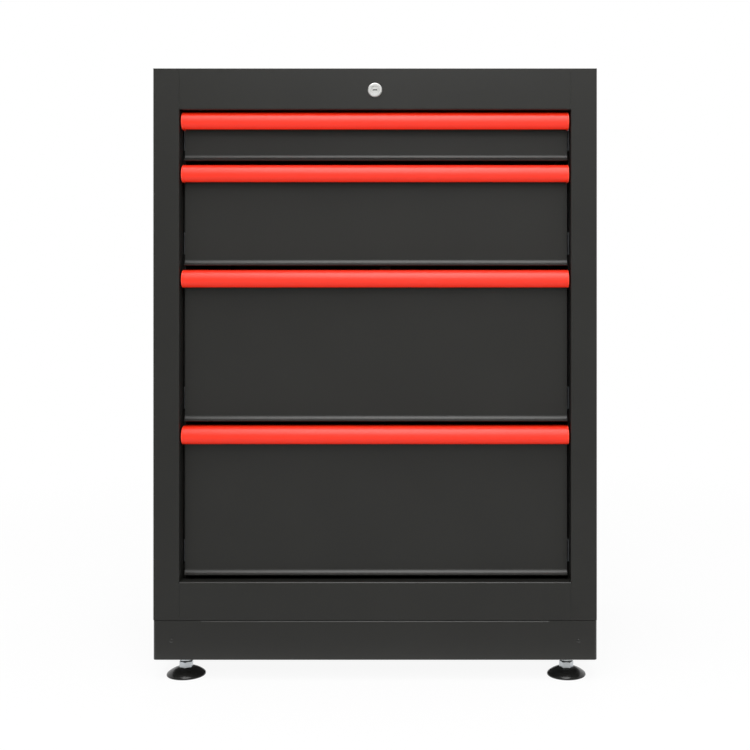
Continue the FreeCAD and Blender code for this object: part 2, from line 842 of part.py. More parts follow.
def back_panel_screws():
    body = new_body("back_panel_screw_one")
    pad(body, "XZ", 0, s.screw_head_height, circles=[(0, 0, s.screw_head_radius)])
    pad(body, "XZ", -s.screw_length, s.screw_length, circles=[(0, 0, s.screw_radius)])
    face = s.screw_head_height.number
    soften(body, s.screw_head_height * EDGE_SHARE, lambda edge: abs(edge.CenterOfMass.y - face) < 1e-4)
    places = [
        ((half_width - s.screw_edge) * side, y_at(s.body_depth), z)
        for side in (-1, 1) for z in screw_heights
    ]
    nodes.append(copies("back_panel_screws", body, places))


def lock_housing():
    """The fixed barrel of the lock, with its round face on the rail and a bore for the plug."""
    body = new_body("lock_housing")
    pad(body, "XZ", y_at(-s.lock_face), s.lock_face, circles=[(0, lock_z, s.lock_face_radius)])
    pad(body, "XZ", y_at(0), s.lock_barrel_length, circles=[(0, lock_z, s.lock_barrel_radius)])
    length = s.lock_face + s.lock_barrel_length
    bore = (0, lock_z, s.plug_radius + s.plug_clearance)
    pocket(body, "XZ", y_at(-s.lock_face), length, circles=[bore])
    face = y_at(-s.lock_face).number
    rim = s.lock_face_radius.number
    soften(body, s.lock_face * EDGE_SHARE, lambda edge: abs(edge.CenterOfMass.y - face) < 1e-4
           and edge.BoundBox.XMax > rim * 0.9)
    nodes.append(body)


def lock_nut():
    """The ring nut that clamps the housing to the back of the rail."""
    body = new_body("lock_nut")
    start = y_at(s.panel_sheet)
    pad(body, "XZ", start, s.lock_nut_thickness, [hexagon(0, lock_z, s.lock_nut_flats)])
    bore = (0, lock_z, s.lock_barrel_radius + s.hole_clearance)
    pocket(body, "XZ", start, s.lock_nut_thickness, circles=[bore])
    nodes.append(body)


plug_end = s.lock_barrel_length + s.panel_sheet
rod_end = bar_front - s.bar_rear_gap


def lock_plug():
    """The turning plug, with its level keyway and the shoulder behind the housing."""
    body = new_body("lock_plug")
    start = y_at(s.plug_recess - s.lock_face)
    front_part = s.lock_barrel_length + s.lock_face - s.plug_recess
    pad(body, "XZ", start, front_part, circles=[(0, lock_z, s.plug_radius)])
    pad(body, "XZ", y_at(s.lock_barrel_length), s.panel_sheet,
        circles=[(0, lock_z, s.plug_radius + s.panel_sheet)])
    keyway = rectangle(-s.keyway_height / 2, lock_z - s.keyway_width / 2,
                       s.keyway_height / 2, lock_z + s.keyway_width / 2)
    pocket(body, "XZ", start, s.keyway_depth, [keyway])
    nodes.append(body)


def lock_rod():
    """The rod from the plug to the crank at the back."""
    body = new_body("lock_rod")
    length = rod_end - plug_end
    pad(body, "XZ", y_at(plug_end), length, circles=[(0, lock_z, s.rod_radius)])
    nodes.append(body)


pin_x = -(s.crank_length * math.sqrt(0.5))
pin_z = lock_z - s.crank_length * math.sqrt(0.5)
hub_radius = s.rod_radius + s.crank_hub_wall
eye_radius = s.crank_pin_radius + s.crank_eye_wall


def lock_crank():
    """The crank on the rod's end. Its pin lifts the bar as the lock turns."""
    body = new_body("lock_crank")
    start = y_at(rod_end - s.crank_sheet)
    pad(body, "XZ", start, s.crank_sheet, circles=[(0, lock_z, hub_radius)])
    # the arm runs down at half a right angle, as wide as the pin's eye
    across = eye_radius * math.sqrt(0.5)
    arm = polygon([
        (-across, lock_z + across), (pin_x - across, pin_z + across),
        (pin_x + across, pin_z - across), (across, lock_z - across),
    ])
    pad(body, "XZ", start, s.crank_sheet, [arm])
    pad(body, "XZ", start, s.crank_sheet, circles=[(pin_x, pin_z, eye_radius)])
    bore = (0, lock_z, s.rod_radius)
    pocket(body, "XZ", start, s.crank_sheet, circles=[bore])
    reach = s.bar_rear_gap + s.bar_sheet + s.bar_rear_gap / 2
    pad(body, "XZ", y_at(rod_end), reach, circles=[(pin_x, pin_z, s.crank_pin_radius)])
    nodes.append(body)


def lock_rod_hanger():
    """The plate that hangs from the deck and carries the rod near its back end."""
    body = new_body("lock_rod_hanger")
    depth = rod_end - s.crank_sheet - s.hanger_inset
    low = lock_z - s.hanger_width / 2
    half = s.hanger_width / 2
    plate = rectangle(-half, low, half, deck_under)
    pad(body, "XZ", y_at(depth), s.bar_sheet, [plate])
    foot = rectangle(-half, y_at(depth - s.hanger_width / 2), half, y_at(depth + s.bar_sheet))
    pad(body, "XY", deck_under - s.bar_sheet, s.bar_sheet, [foot])
    hole = (0, lock_z, s.rod_radius + s.hole_clearance)
    pocket(body, "XZ", y_at(depth), s.bar_sheet, circles=[hole])
    nodes.append(body)


def lock_bar():
    """The upright bar with a slot for the crank's pin, and a finger for each drawer."""
    body = new_body("lock_bar_strip")
    low = drawers[-1].finger_z - s.bar_width / 2
    high = pin_z + s.bar_head
    strip = rectangle(bar_x - s.bar_width / 2, low, bar_x + s.bar_width / 2, high)
    pad(body, "XZ", y_at(bar_front), s.bar_sheet, [strip])
    margin = s.crank_pin_radius + s.pin_clearance
    slot = rectangle(-s.crank_length - margin, pin_z - margin, pin_x + margin, pin_z + margin)
    pocket(body, "XZ", y_at(bar_front), s.bar_sheet, [slot])
    fingers = []
    tip = bar_front - s.finger_reach + s.catch_sheet
    for drawer in drawers:
        # a foot on the bar, a shelf that runs forward from it, and a lip turned up at the end
        upper = drawer.finger_z + s.catch_sheet
        path = [
            (y_at(bar_front), drawer.finger_z - s.catch_foot), (y_at(bar_front), upper),
            (y_at(tip), upper), (y_at(tip), drawer.finger_z + s.finger_height),
        ]
        finger = new_body(f"lock_bar_finger_{drawer.name}")
        section = folded(path, s.catch_sheet, s.catch_bend)
        pad(finger, "YZ", bar_x - s.bar_width / 2, s.bar_width, [section])
        fingers.append(finger)
    nodes.append(grouped("lock_bar", [body] + fingers))


def lock_bar_guides():
    """Straps on the back panel that keep the bar on its line."""
    straps = []
    inner = s.bar_width / 2 + s.bar_guide_gap
    wall = s.bar_guide_sheet
    front = bar_front - s.bar_guide_gap
    for drawer in drawers[:-1]:
        body = new_body(f"lock_bar_guide_{drawer.name}")
        back = y_at(back_inner)
        outline = polygon([
            (bar_x - inner - wall - s.bar_guide_foot, back),
            (bar_x - inner - wall - s.bar_guide_foot, back - wall),
            (bar_x - inner - wall, back - wall), (bar_x - inner - wall, y_at(front) - wall),
            (bar_x + inner + wall, y_at(front) - wall), (bar_x + inner + wall, back - wall),
            (bar_x + inner + wall + s.bar_guide_foot, back - wall),
            (bar_x + inner + wall + s.bar_guide_foot, back),
            (bar_x + inner, back), (bar_x + inner, y_at(front)),
            (bar_x - inner, y_at(front)), (bar_x - inner, back),
        ])
        low = drawer.bottom - s.drawer_gap - s.bar_guide_height
        pad(body, "XY", low, s.bar_guide_height, [outline])
        straps.append(body)
    nodes.append(grouped("lock_bar_guides", straps))


def handle_outline(solid):
    """The handle's section as (depth, height): crown, lip and the flange over the front."""
    crown, wall = s.handle_crown, s.handle_wall
    lower = s.handle_height - crown
    cosine, sine = math.cos(HANDLE_LIP_TURN), math.sin(HANDLE_LIP_TURN)
    back = s.drawer_recess + s.front_pan_depth
    outer = [
        (back, 0, None), (crown, 0, (crown, 1)), (as_size(0), -crown, (lower, 1)),
        (lower - lower * cosine, -crown - lower * sine, None),
    ]
    if solid:
        return outer + [(s.drawer_recess, -crown - lower * sine, None),
                        (s.drawer_recess, -wall, None), (back, -wall, None)]
    inner = lower - wall
    return outer + [
        (lower - inner * cosine, -crown - inner * sine, (inner, -1)),
        (wall, -crown, (crown - wall, -1)), (crown, -wall, None), (back, -wall, None),
    ]


def placed(outline):
    """An outline of (depth, height) moved to the shell's own Y."""
    return [(y_at(u), v, arc) for u, v, arc in outline]


def drawer_handle(drawer):
    """The full-width pull, and the thin cap on each of its ends."""
    half = opening_half - s.handle_side_gap
    bar = new_body(f"{drawer.name}_handle")
    length = (half - s.handle_cap) * 2
    pad(bar, "YZ", -half + s.handle_cap, length, [placed(handle_outline(False))])
    place(bar, z=drawer.bottom + drawer.height)
    caps = []
    for start in (-half, half - s.handle_cap):
        cap = new_body(f"{drawer.name}_handle_cap")
        pad(cap, "YZ", start, s.handle_cap, [placed(handle_outline(True))])
        place(cap, z=drawer.bottom + drawer.height)
        caps.append(cap)
    nodes.extend([bar, grouped(f"{drawer.name}_handle_caps", caps)])


def front_outline(drawer, hollow):
    """The front pan's section as (depth, height): flat face, and the lower edge flared out."""
    high = drawer.height - s.handle_wall
    back = s.drawer_recess + s.front_pan_depth
    nose = s.drawer_recess - s.flare_depth
    turn_z = s.flare_nose + s.flare_height
    wall = s.drawer_sheet
    radius = (s.flare_depth * s.flare_depth + s.flare_height * s.flare_height) / (s.flare_depth * 2)
    outer = [
        (back, 0, None), (nose + s.flare_nose, 0, (s.flare_nose, -1)),
        (nose, s.flare_nose, (radius, 1)), (s.drawer_recess, turn_z, None),
        (s.drawer_recess, high, None), (back, high, None),
    ]
    if not hollow:
        return outer
    # the inside of the flare has the same centre as its outside
    rise = turn_z - wall
    inner_end = s.drawer_recess - radius + root((radius + wall) * (radius + wall) - rise * rise)
    return outer + [
        (back, high - s.front_pan_lip, None), (back - wall, high - s.front_pan_lip, None),
        (back - wall, high - wall, None), (s.drawer_recess + wall, high - wall, None),
        (s.drawer_recess + wall, turn_z, (radius + wall, -1)),
        (inner_end, wall, None), (back, wall, None),
    ]


def drawer_front(drawer):
    """The front pan: one folded sheet, closed by a plate at each end."""
    half = opening_half - s.drawer_side_gap
    body = new_body(f"{drawer.name}_front")
    pad(body, "YZ", -half, half * 2, [placed(front_outline(drawer, True))])
    for start in (-half, half - s.drawer_sheet):
        pad(body, "YZ", start, s.drawer_sheet, [placed(front_outline(drawer, False))])
    place(body, z=drawer.bottom)
    nodes.append(body)


def drawer_tray(drawer):
    """The tray behind the front, with rounded corners."""
    body = new_body(f"{drawer.name}_tray")
    half, wall = slide_web, s.drawer_sheet

    def plan(inset):
        radius = s.tray_corner - inset
        low, high = y_at(tray_front + inset), y_at(tray_back - inset)
        corners = [(-half + inset, low), (half - inset, low), (half - inset, high), (-half + inset, high)]
        return rounded(corners, [radius] * 4)

    pad(body, "XY", s.tray_rise, drawer.tray_height, [plan(as_size(0))])
    pocket(body, "XY", s.tray_rise + wall, drawer.tray_height - wall, [plan(wall)])
    place(body, z=drawer.bottom)
    nodes.append(body)


def drawer_catch(drawer):
    """The hook on the tray's back wall that a finger of the lock bar holds."""
    body = new_body(f"{drawer.name}_catch")
    front, back, z = y_at(tray_back), y_at(catch_end - s.catch_sheet), drawer.catch_z
    path = [(front, z + s.catch_foot), (front, z), (back, z), (back, z - s.catch_drop)]
    section = folded(path, s.catch_sheet, s.catch_bend)
    pad(body, "YZ", bar_x - s.bar_width / 2, s.bar_width, [section])
    nodes.append(body)


def drawer_slides(drawer):
    """The drawer members of the slides, and the ball cages that run between the members."""
    right = slide_member(f"{drawer.name}_inner_member", inner_section(), drawer.slide_z)
    nodes.append(grouped(f"{drawer.name}_slide_members", [right, mirror_x(right)]))
    cage = new_body(f"{drawer.name}_cage")
    web_out = opening_half - s.slide_sheet - s.ball_clearance
    web_in = web_out - s.cage_sheet
    level = s.ball_height + s.cage_sheet / 2
    edge = ball_x - s.ball_radius
    section = polygon([
        (web_out, -level), (web_out, level), (edge, level), (edge, level - s.cage_sheet),
        (web_in, level - s.cage_sheet), (web_in, -level + s.cage_sheet),
        (edge, -level + s.cage_sheet), (edge, -level),
    ])
    start = slide_start + (slide_length - cage_length) / 2
    pad(cage, "XZ", y_at(start), cage_length, [section])
    pitch = cage_length / BALLS_PER_ROW
    depths = [start + pitch * (i + 0.5) for i in range(BALLS_PER_ROW)]
    holes = [(ball_x, y_at(depth), s.ball_radius + s.hole_clearance * 2) for depth in depths]
    pocket(cage, "XY", -level, level * 2, circles=holes)
    place(cage, z=drawer.slide_z)
    members = [cage]
    for depth in depths:
        for side in (-1, 1):
            ball = doc.addObject("Part::Sphere", f"{drawer.name}_ball")
            bind(ball, "Radius", s.ball_radius)
            place(ball, ball_x, y_at(depth), drawer.slide_z + s.ball_height * side)
            members.append(ball)
    members += [mirror_x(member) for member in members]
    nodes.append(grouped(f"{drawer.name}_ball_cages", members))


def build():
    """Make every piece, in the order in which they would be put together."""
    for name, _, _, x, y in foot_places():
        levelling_foot(name, x, y)
    plinth_end("plinth_front", True)
    plinth_end("plinth_rear", False)
    nodes.append(grouped("plinth_sides", [plinth_side(-1), plinth_side(1)]))
    foot_brackets()
    foot_nuts()
    floor_panel()
    side_panel("left_side_panel", -1)
    side_panel("right_side_panel", 1)
    back_panel()
    back_panel_screws()
    top_panel()
    top_rail()
    bottom_rail()
    slide_uprights()
    outer_slides()
    nodes.append(grouped("rivets", slide_rivets() + [plinth_rivets()]))
    lock_housing()
    lock_nut()
    lock_plug()
    lock_rod()
    lock_crank()
    lock_rod_hanger()
    lock_bar()
    lock_bar_guides()
    for drawer in drawers:
        drawer_tray(drawer)
        drawer_catch(drawer)
        drawer_front(drawer)
        drawer_handle(drawer)
        drawer_slides(drawer)


def check():
    """Stop if any object failed, or a piece isn't a valid solid."""
    doc.recompute()
    for thing in doc.Objects:
        if "Invalid" in thing.State or "Error" in thing.State:
            raise RuntimeError(f"{thing.Label} failed: {thing.State}")
    for node in nodes:
        shape = node.Shape
        if shape.isNull() or not shape.isValid() or not shape.Solids:
            raise RuntimeError(f"{node.Label} is not a valid solid")


def write():
    """Write each piece to a file of its own name."""
    os.makedirs("parts", exist_ok=True)
    for node in nodes:
        node.Shape.exportStep(os.path.join("parts", f"{node.Label}.step"))


build()
check()
write()
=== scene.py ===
"""The looks of a workshop drawer cabinet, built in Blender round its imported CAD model.

Metres. +Z is up, the fronts face -Y, and the origin is on the floor under the cabinet.
"""

import json
import math

import bpy
from bpy.props import FloatProperty, FloatVectorProperty, PointerProperty
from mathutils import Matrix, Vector


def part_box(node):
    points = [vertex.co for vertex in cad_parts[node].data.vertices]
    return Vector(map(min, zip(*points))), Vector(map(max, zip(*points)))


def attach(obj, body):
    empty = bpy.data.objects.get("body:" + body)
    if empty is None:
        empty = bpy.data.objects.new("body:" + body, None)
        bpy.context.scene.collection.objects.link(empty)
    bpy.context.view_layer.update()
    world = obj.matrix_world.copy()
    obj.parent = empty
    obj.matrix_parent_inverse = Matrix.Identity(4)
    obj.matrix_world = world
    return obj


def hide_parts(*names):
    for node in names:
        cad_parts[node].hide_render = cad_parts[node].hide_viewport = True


bl_info = {
    "name": "Workshop Drawer Cabinet",
    "version": (1, 0, 0),
    "blender": (4, 5, 0),
    "location": "3D View > Sidebar > Cabinet",
    "description": "Models and dresses the pieces of a workshop drawer cabinet",
    "category": "Object",
}

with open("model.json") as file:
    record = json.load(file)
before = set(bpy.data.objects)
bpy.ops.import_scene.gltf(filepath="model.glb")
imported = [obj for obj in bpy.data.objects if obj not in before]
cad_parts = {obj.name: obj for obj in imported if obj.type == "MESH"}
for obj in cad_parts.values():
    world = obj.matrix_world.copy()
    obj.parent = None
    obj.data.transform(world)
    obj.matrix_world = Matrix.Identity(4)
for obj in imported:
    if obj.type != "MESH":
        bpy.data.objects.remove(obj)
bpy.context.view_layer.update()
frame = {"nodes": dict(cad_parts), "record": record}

MM = 0.001
DRAWERS = (1, 2, 3, 4)
FEET = ("front_left", "front_right", "rear_left", "rear_right")
# how far each foot has been screwed round, in degrees
TURNS = {"front_left": 0.0, "front_right": 33.0, "rear_left": 12.0, "rear_right": 40.0}

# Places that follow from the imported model
FRONT_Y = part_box("top_rail")[0].y
BACK_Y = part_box("top_panel")[1].y
LOCK_Z = (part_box("lock_housing")[0].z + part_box("lock_housing")[1].z) / 2
PULL_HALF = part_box("drawer_1_handle")[1].x
PULL_TOPS = {n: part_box(f"drawer_{n}_handle")[1].z for n in DRAWERS}
CAP_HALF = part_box("drawer_1_handle_caps")[1].x
PANELS = {n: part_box(f"drawer_{n}_front") for n in DRAWERS}
OPENING_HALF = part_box("top_rail")[1].x
PLINTH_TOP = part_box("plinth_front")[1].z
OPENING_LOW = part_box("bottom_rail")[1].z
OPENING_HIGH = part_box("top_rail")[0].z
RAIL_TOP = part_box("top_rail")[1].z


def linear(code):
    """An sRGB hex colour as linear red, green and blue."""
    channels = [int(code[i:i + 2], 16) / 255 for i in (0, 2, 4)]
    return tuple(c / 12.92 if c <= 0.04045 else ((c + 0.055) / 1.055) ** 2.4 for c in channels)


def length(name, description, millimetres):
    return FloatProperty(
        name=name, description=description, default=millimetres * MM, min=0.0,
        unit="LENGTH", subtype="DISTANCE", precision=4)


def colour(name, description, code):
    return FloatVectorProperty(
        name=name, description=description, default=linear(code), size=3, min=0.0, max=1.0,
        subtype="COLOR")


# Sizes and colours that a user would change


class CabinetSizes(bpy.types.PropertyGroup):
    """Sizes of the modelled pieces"""

    pull_depth: length("Pull depth", "From the pull's nose to the back of its flange", 32.0)
    pull_crown: length("Pull crown", "Radius over the top of a pull", 15.5)
    pull_lip: length("Pull lip", "Radius of the lip under a pull's nose", 12.5)
    pull_wall: length("Pull wall", "Wall of the extruded pull", 2.2)
    cap_thickness: length("Cap thickness", "Thickness of the cap on a pull's end", 2.0)
    panel_recess: length("Panel recess", "Depth of a drawer panel's face behind the frame", 23.5)
    panel_sheet: length("Panel sheet", "Sheet of a drawer panel", 1.0)
    panel_lip: length("Panel lip", "Lip turned down at the top of a panel's back", 14.0)
    flare_nose: length("Flare nose", "Radius of the nose at a panel's lower edge", 1.5)
    flare_height: length("Flare height", "Height of the curve over that nose", 8.5)
    flare_depth: length("Flare depth", "How far that nose stands out of the panel", 8.0)
    edge: length("Sheet edge", "Rounding of a sheet's edges", 0.4)
    fold: length("Fold", "Outer radius of a fold in the shell's sheet", 2.0)
    plinth_fold: length("Plinth fold", "Length of the fold along the plinth's upper edge", 530.0)
    plinth_round: length("Plinth round", "Outer radius of that fold", 3.0)
    seam: length("Seam", "Open seam between the shell and the plinth", 0.8)
    hardware_edge: length("Hardware edge", "Rounding of the plated hardware's edges", 0.2)
    lock_rim: length("Lock rim", "Rounding of the rim of the lock's face", 1.5)
    lock_barrel: length("Lock barrel", "Radius of the lock's barrel", 9.4)
    lock_bore: length("Lock bore", "Radius of the bore that the plug turns in", 6.05)
    plug: length("Plug", "Radius of the lock's plug", 6.0)
    plug_shoulder: length("Plug shoulder", "Thickness of the shoulder at the plug's end", 1.2)
    plug_edge: length("Plug edge", "Chamfer round the plug and its bore", 0.45)
    keyway: length("Keyway", "Length of the keyway across the plug", 7.0)
    keyway_gap: length("Keyway gap", "Height of the keyway", 1.6)
    keyway_depth: length("Keyway depth", "Depth of the keyway", 6.0)
    pad_sole: length("Pad sole", "Rounding under the rim of a foot's pad", 1.0)
    pad_rim: length("Pad rim", "Rounding over the rim of a foot's pad", 3.5)
    pad_flank: length("Pad flank", "Radius of the pad's flank", 39.1)
    pad_collar: length("Pad collar", "Rounding of the collar on top of a pad", 0.6)
    hexagon_flats: length("Hexagon", "Hexagons of the feet and their nuts across the flats", 19.0)
    stud_hexagon: length("Stud hexagon", "Height of the hexagon at a stud's foot", 9.0)
    nut_height: length("Nut height", "Height of a nut", 10.0)
    thread: length("Thread", "Outer radius of the feet's thread", 6.0)
    thread_root: length("Thread root", "Radius at the root of the thread", 4.93)
    pitch: length("Pitch", "Pitch of the thread", 1.75)
    lip_turn: FloatProperty(
        name="Lip turn", description="Turn of the pull's lip below its nose",
        default=math.radians(69), subtype="ANGLE", unit="ROTATION")


class CabinetFinishes(bpy.types.PropertyGroup):
    """Colours of the finishes"""

    shell: colour("Shell", "Grey powder coat of the shell and the drawers", "232321")
    pull: colour("Pull", "Red powder coat of the pulls", "dd2406")
    cap: colour("Cap", "Red plastic of the caps on the pulls", "e63a22")
    zinc: colour("Zinc", "Zinc plating of the hardware", "c3c7cb")
    steel: colour("Steel", "Polished steel of the balls", "d6d6d4")
    nickel: colour("Nickel", "Nickel plating of the lock", "f5f5f2")
    nylon: colour("Nylon", "Black nylon of the feet", "181817")
    # the keyway's dark grey is painted shade in the recess, not a metal of its own
    slot: colour("Slot", "Dark metal inside the keyway", "6d6d6a")


class CabinetStudio(bpy.types.PropertyGroup):
    """Camera and lights"""

    lens: FloatProperty(name="Lens", description="Focal length of the camera in millimetres",
                        default=54.85, subtype="DISTANCE_CAMERA")
    distance: length("Distance", "Camera's distance from the front plane", 1750.0)
    side: length("Camera side", "Camera's place to the right of the middle", 115.0)
    height: length("Camera height", "Camera's height over the floor", 583.0)
    overhead: FloatProperty(name="Overhead light", description="Watts of the light over the front",
                            default=76.0, min=0.0, unit="POWER")
    canopy: FloatProperty(name="Canopy light", description="Watts of the light above and in front",
                          default=31.0, min=0.0, unit="POWER")
    fill: FloatProperty(name="Fill light", description="Watts of the broad light in front",
                        default=78.0, min=0.0, unit="POWER")
    surround: FloatProperty(name="Surround", description="Light from all round",
                            default=0.4, min=0.0)


# Modelling by hand


def deselect():
    if bpy.context.object and bpy.context.object.mode != "OBJECT":
        bpy.ops.object.mode_set(mode="OBJECT")
    bpy.ops.object.select_all(action="DESELECT")


def take(piece):
    """Make piece the one that is selected and active."""
    deselect()
    piece.select_set(True)
    bpy.context.view_layer.objects.active = piece


def start_point(name, at):
    """A new piece of one point, in edit mode."""
    deselect()
    bpy.ops.mesh.primitive_plane_add(size=MM, location=(0, 0, 0))
    piece = bpy.context.object
    piece.name = piece.data.name = name
    bpy.ops.object.mode_set(mode="EDIT")
    bpy.context.tool_settings.mesh_select_mode = (True, False, False)
    bpy.ops.mesh.merge(type="CENTER")
    bpy.ops.transform.translate(value=at)
    return piece


def line(*move):
    bpy.ops.mesh.extrude_region_move(TRANSFORM_OT_translate={"value": move})


def arc(centre, axis, degrees, steps):
    """Turn the last point round centre, anticlockwise when seen from the axis's end."""
    bpy.ops.mesh.spin(steps=steps, angle=-math.radians(degrees), center=centre, axis=axis)


def close():
    """Weld the last point to the first."""
    bpy.ops.mesh.select_all(action="SELECT")
    bpy.ops.mesh.remove_doubles(threshold=1e-6)


def choose(piece, kind, test):
    """Select the points, edges or faces for which test(middle, direction) is true."""
    bpy.ops.object.mode_set(mode="OBJECT")
    mesh = piece.data
    for things in (mesh.vertices, mesh.edges, mesh.polygons):
        things.foreach_set("select", [False] * len(things))
    if kind == "FACE":
        for face in mesh.polygons:
            face.select = test(face.center, face.normal)
    elif kind == "EDGE":
        for edge in mesh.edges:
            a, b = (mesh.vertices[i].co for i in edge.vertices)
            edge.select = test((a + b) / 2, b - a)
    else:
        for vertex in mesh.vertices:
            vertex.select = test(vertex.co, vertex.normal)
    bpy.context.tool_settings.mesh_select_mode = (kind == "VERT", kind == "EDGE", kind == "FACE")
    bpy.ops.object.mode_set(mode="EDIT")


def outwards():
    """Point every face of a closed shape outwards."""
    bpy.ops.mesh.select_all(action="SELECT")
    bpy.ops.mesh.normals_make_consistent(inside=False)


def face_towards(piece, where, way):
    """Point an open shape's faces so that the ones chosen by where(middle) face way."""
    bpy.ops.mesh.select_all(action="SELECT")
    bpy.ops.mesh.normals_make_consistent(inside=False)
    bpy.ops.object.mode_set(mode="OBJECT")
    share = sum(f.normal.dot(Vector(way)) * f.area for f in piece.data.polygons if where(f.center))
    bpy.ops.object.mode_set(mode="EDIT")
    if share < 0:
        bpy.ops.mesh.select_all(action="SELECT")
        bpy.ops.mesh.flip_normals()


def modify(piece, kind, **settings):
    """Add a modifier and apply it."""
    take(piece)
    modifier = piece.modifiers.new(kind.title(), kind)
    for key, value in settings.items():
        setattr(modifier, key, value)
    bpy.ops.object.modifier_apply(modifier=modifier.name)


def soften(piece, width, segments=2, angle=50):
    """Round the sharp edges."""
    modify(piece, "BEVEL", width=width, segments=segments, limit_method="ANGLE",
           angle_limit=math.radians(angle), use_clamp_overlap=True, miter_outer="MITER_ARC")


def smooth(piece, angle=35):
    """Shade rounds smoothly, with the flat faces kept flat."""
    take(piece)
    bpy.ops.object.shade_smooth_by_angle(angle=math.radians(angle))
    modify(piece, "WEIGHTED_NORMAL", keep_sharp=True)


def turned(centre, axis, steps):
    """Spin the drawn line a full turn into a closed body."""
    bpy.ops.mesh.select_all(action="SELECT")
    bpy.ops.mesh.spin(steps=steps, angle=math.tau, center=centre, axis=axis, use_auto_merge=True)
    bpy.ops.mesh.select_all(action="SELECT")
    bpy.ops.mesh.remove_doubles(threshold=1e-6)
    outwards()


def cut(piece, tool, operation="DIFFERENCE"):
    """Cut a piece by another, which is used up."""
    bpy.ops.object.mode_set(mode="OBJECT")
    modify(piece, "BOOLEAN", operation=operation, object=tool, solver="EXACT")
    bpy.data.objects.remove(tool)


def copy_of(piece, name, move=(0, 0, 0)):
    """The same piece again with its own mesh, moved, with its object left at the origin."""
    twin = piece.copy()
    twin.data = piece.data.copy()
    twin.name = twin.data.name = name
    bpy.context.scene.collection.objects.link(twin)
    take(twin)
    bpy.ops.transform.translate(value=move)
    bpy.ops.object.transform_apply(location=True, rotation=False, scale=False)
    return twin


def joined(pieces, name):
    """Several pieces made one."""
    deselect()
    for piece in pieces:
        piece.select_set(True)
    bpy.context.view_layer.objects.active = pieces[0]
    if len(pieces) > 1:
        bpy.ops.object.join()
    whole = bpy.context.object
    whole.name = whole.data.name = name
    return whole


def fit(piece, material, slot, body, *nodes):
    """Give a finished piece its material and its body, and hide the CAD nodes that it stands for."""
    piece.data.materials.clear()
    piece.data.materials.append(material)
    if nodes:
        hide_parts(*nodes)
    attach(piece, body)
    return piece


def body_of(node):
    return next(b for b, ns in frame["record"]["behaviour"]["bodies"].items() if node in ns)


def welded(node, name):
    """A copy of a CAD node's mesh with its loose triangles merged."""
    source = frame["nodes"][node]
    piece = source.copy()
    piece.data = source.data.copy()
    piece.parent = None
    for key in list(piece.keys()):
        if key.startswith("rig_"):
            del piece[key]
    piece.name = piece.data.name = name
    bpy.context.scene.collection.objects.link(piece)
    take(piece)
    bpy.ops.mesh.customdata_custom_splitnormals_clear()
    bpy.ops.object.mode_set(mode="EDIT")
    bpy.ops.mesh.select_all(action="SELECT")
    bpy.ops.mesh.remove_doubles(threshold=1e-6)
    bpy.ops.mesh.dissolve_limited(angle_limit=math.radians(0.5))
    bpy.ops.object.mode_set(mode="OBJECT")
    return piece


def rounded(piece, width, seam=None):
    """Round a piece's sharp edges, apart from those whose middle lies in a seam."""
    take(piece)
    bpy.context.tool_settings.mesh_select_mode = (False, True, False)
    bpy.ops.object.mode_set(mode="EDIT")
    bpy.ops.mesh.select_all(action="DESELECT")
    bpy.ops.mesh.edges_select_sharp(sharpness=math.radians(50))
    bpy.ops.object.mode_set(mode="OBJECT")
    if seam:
        for edge in piece.data.edges:
            a, b = (piece.data.vertices[i].co for i in edge.vertices)
            edge.select = edge.select and not seam((a + b) / 2)
    bpy.ops.object.mode_set(mode="EDIT")
    bpy.ops.mesh.bevel(offset=width, segments=2, affect="EDGES", clamp_overlap=True, miter_outer="ARC")
    bpy.ops.object.mode_set(mode="OBJECT")
    smooth(piece)
    return piece


def refined(node, width, seam=None):
    """A welded copy of a CAD node with its sharp edges rounded."""
    return rounded(welded(node, f"{node}_dressed"), width, seam)


def places_of(node):
    """The lowest and highest corners of each separate shape in a CAD node."""
    welded(node, f"{node}_places")
    bpy.ops.object.mode_set(mode="EDIT")
    bpy.ops.mesh.select_all(action="SELECT")
    bpy.ops.mesh.separate(type="LOOSE")
    bpy.ops.object.mode_set(mode="OBJECT")
    places = []
    for shape in list(bpy.context.selected_objects):
        corners = [v.co for v in shape.data.vertices]
        places.append(tuple(Vector(pick(c[i] for c in corners) for i in range(3)) for pick in (min, max)))
        bpy.data.objects.remove(shape)
    return sorted(places, key=lambda place: tuple(round(c, 4) for c in place[0]))


# Materials


def add(tree, kind, inputs=None, **settings):
    """Add a node with its settings, and set or link its inputs."""
    made = tree.nodes.new(kind)
    for key, value in settings.items():
        setattr(made, key, value)
    for key, value in (inputs or {}).items():
        if isinstance(value, bpy.types.NodeSocket):
            tree.links.new(value, made.inputs[key])
        else:
            made.inputs[key].default_value = value
    return made


def per_metre(millimetres):
    """The scale of a pattern that repeats about every so many millimetres."""
    return 1 / (millimetres * MM)


def start_material(name):
    material = bpy.data.materials.new(name)
    material.use_nodes = True
    tree = material.node_tree
    tree.nodes.clear()
    place = add(tree, "ShaderNodeTexCoord").outputs["Object"]
    return material, tree, place


def tone(colour_value, share):
    """A darker or lighter tone of a colour."""
    return [min(c * share, 1) for c in colour_value] + [1]


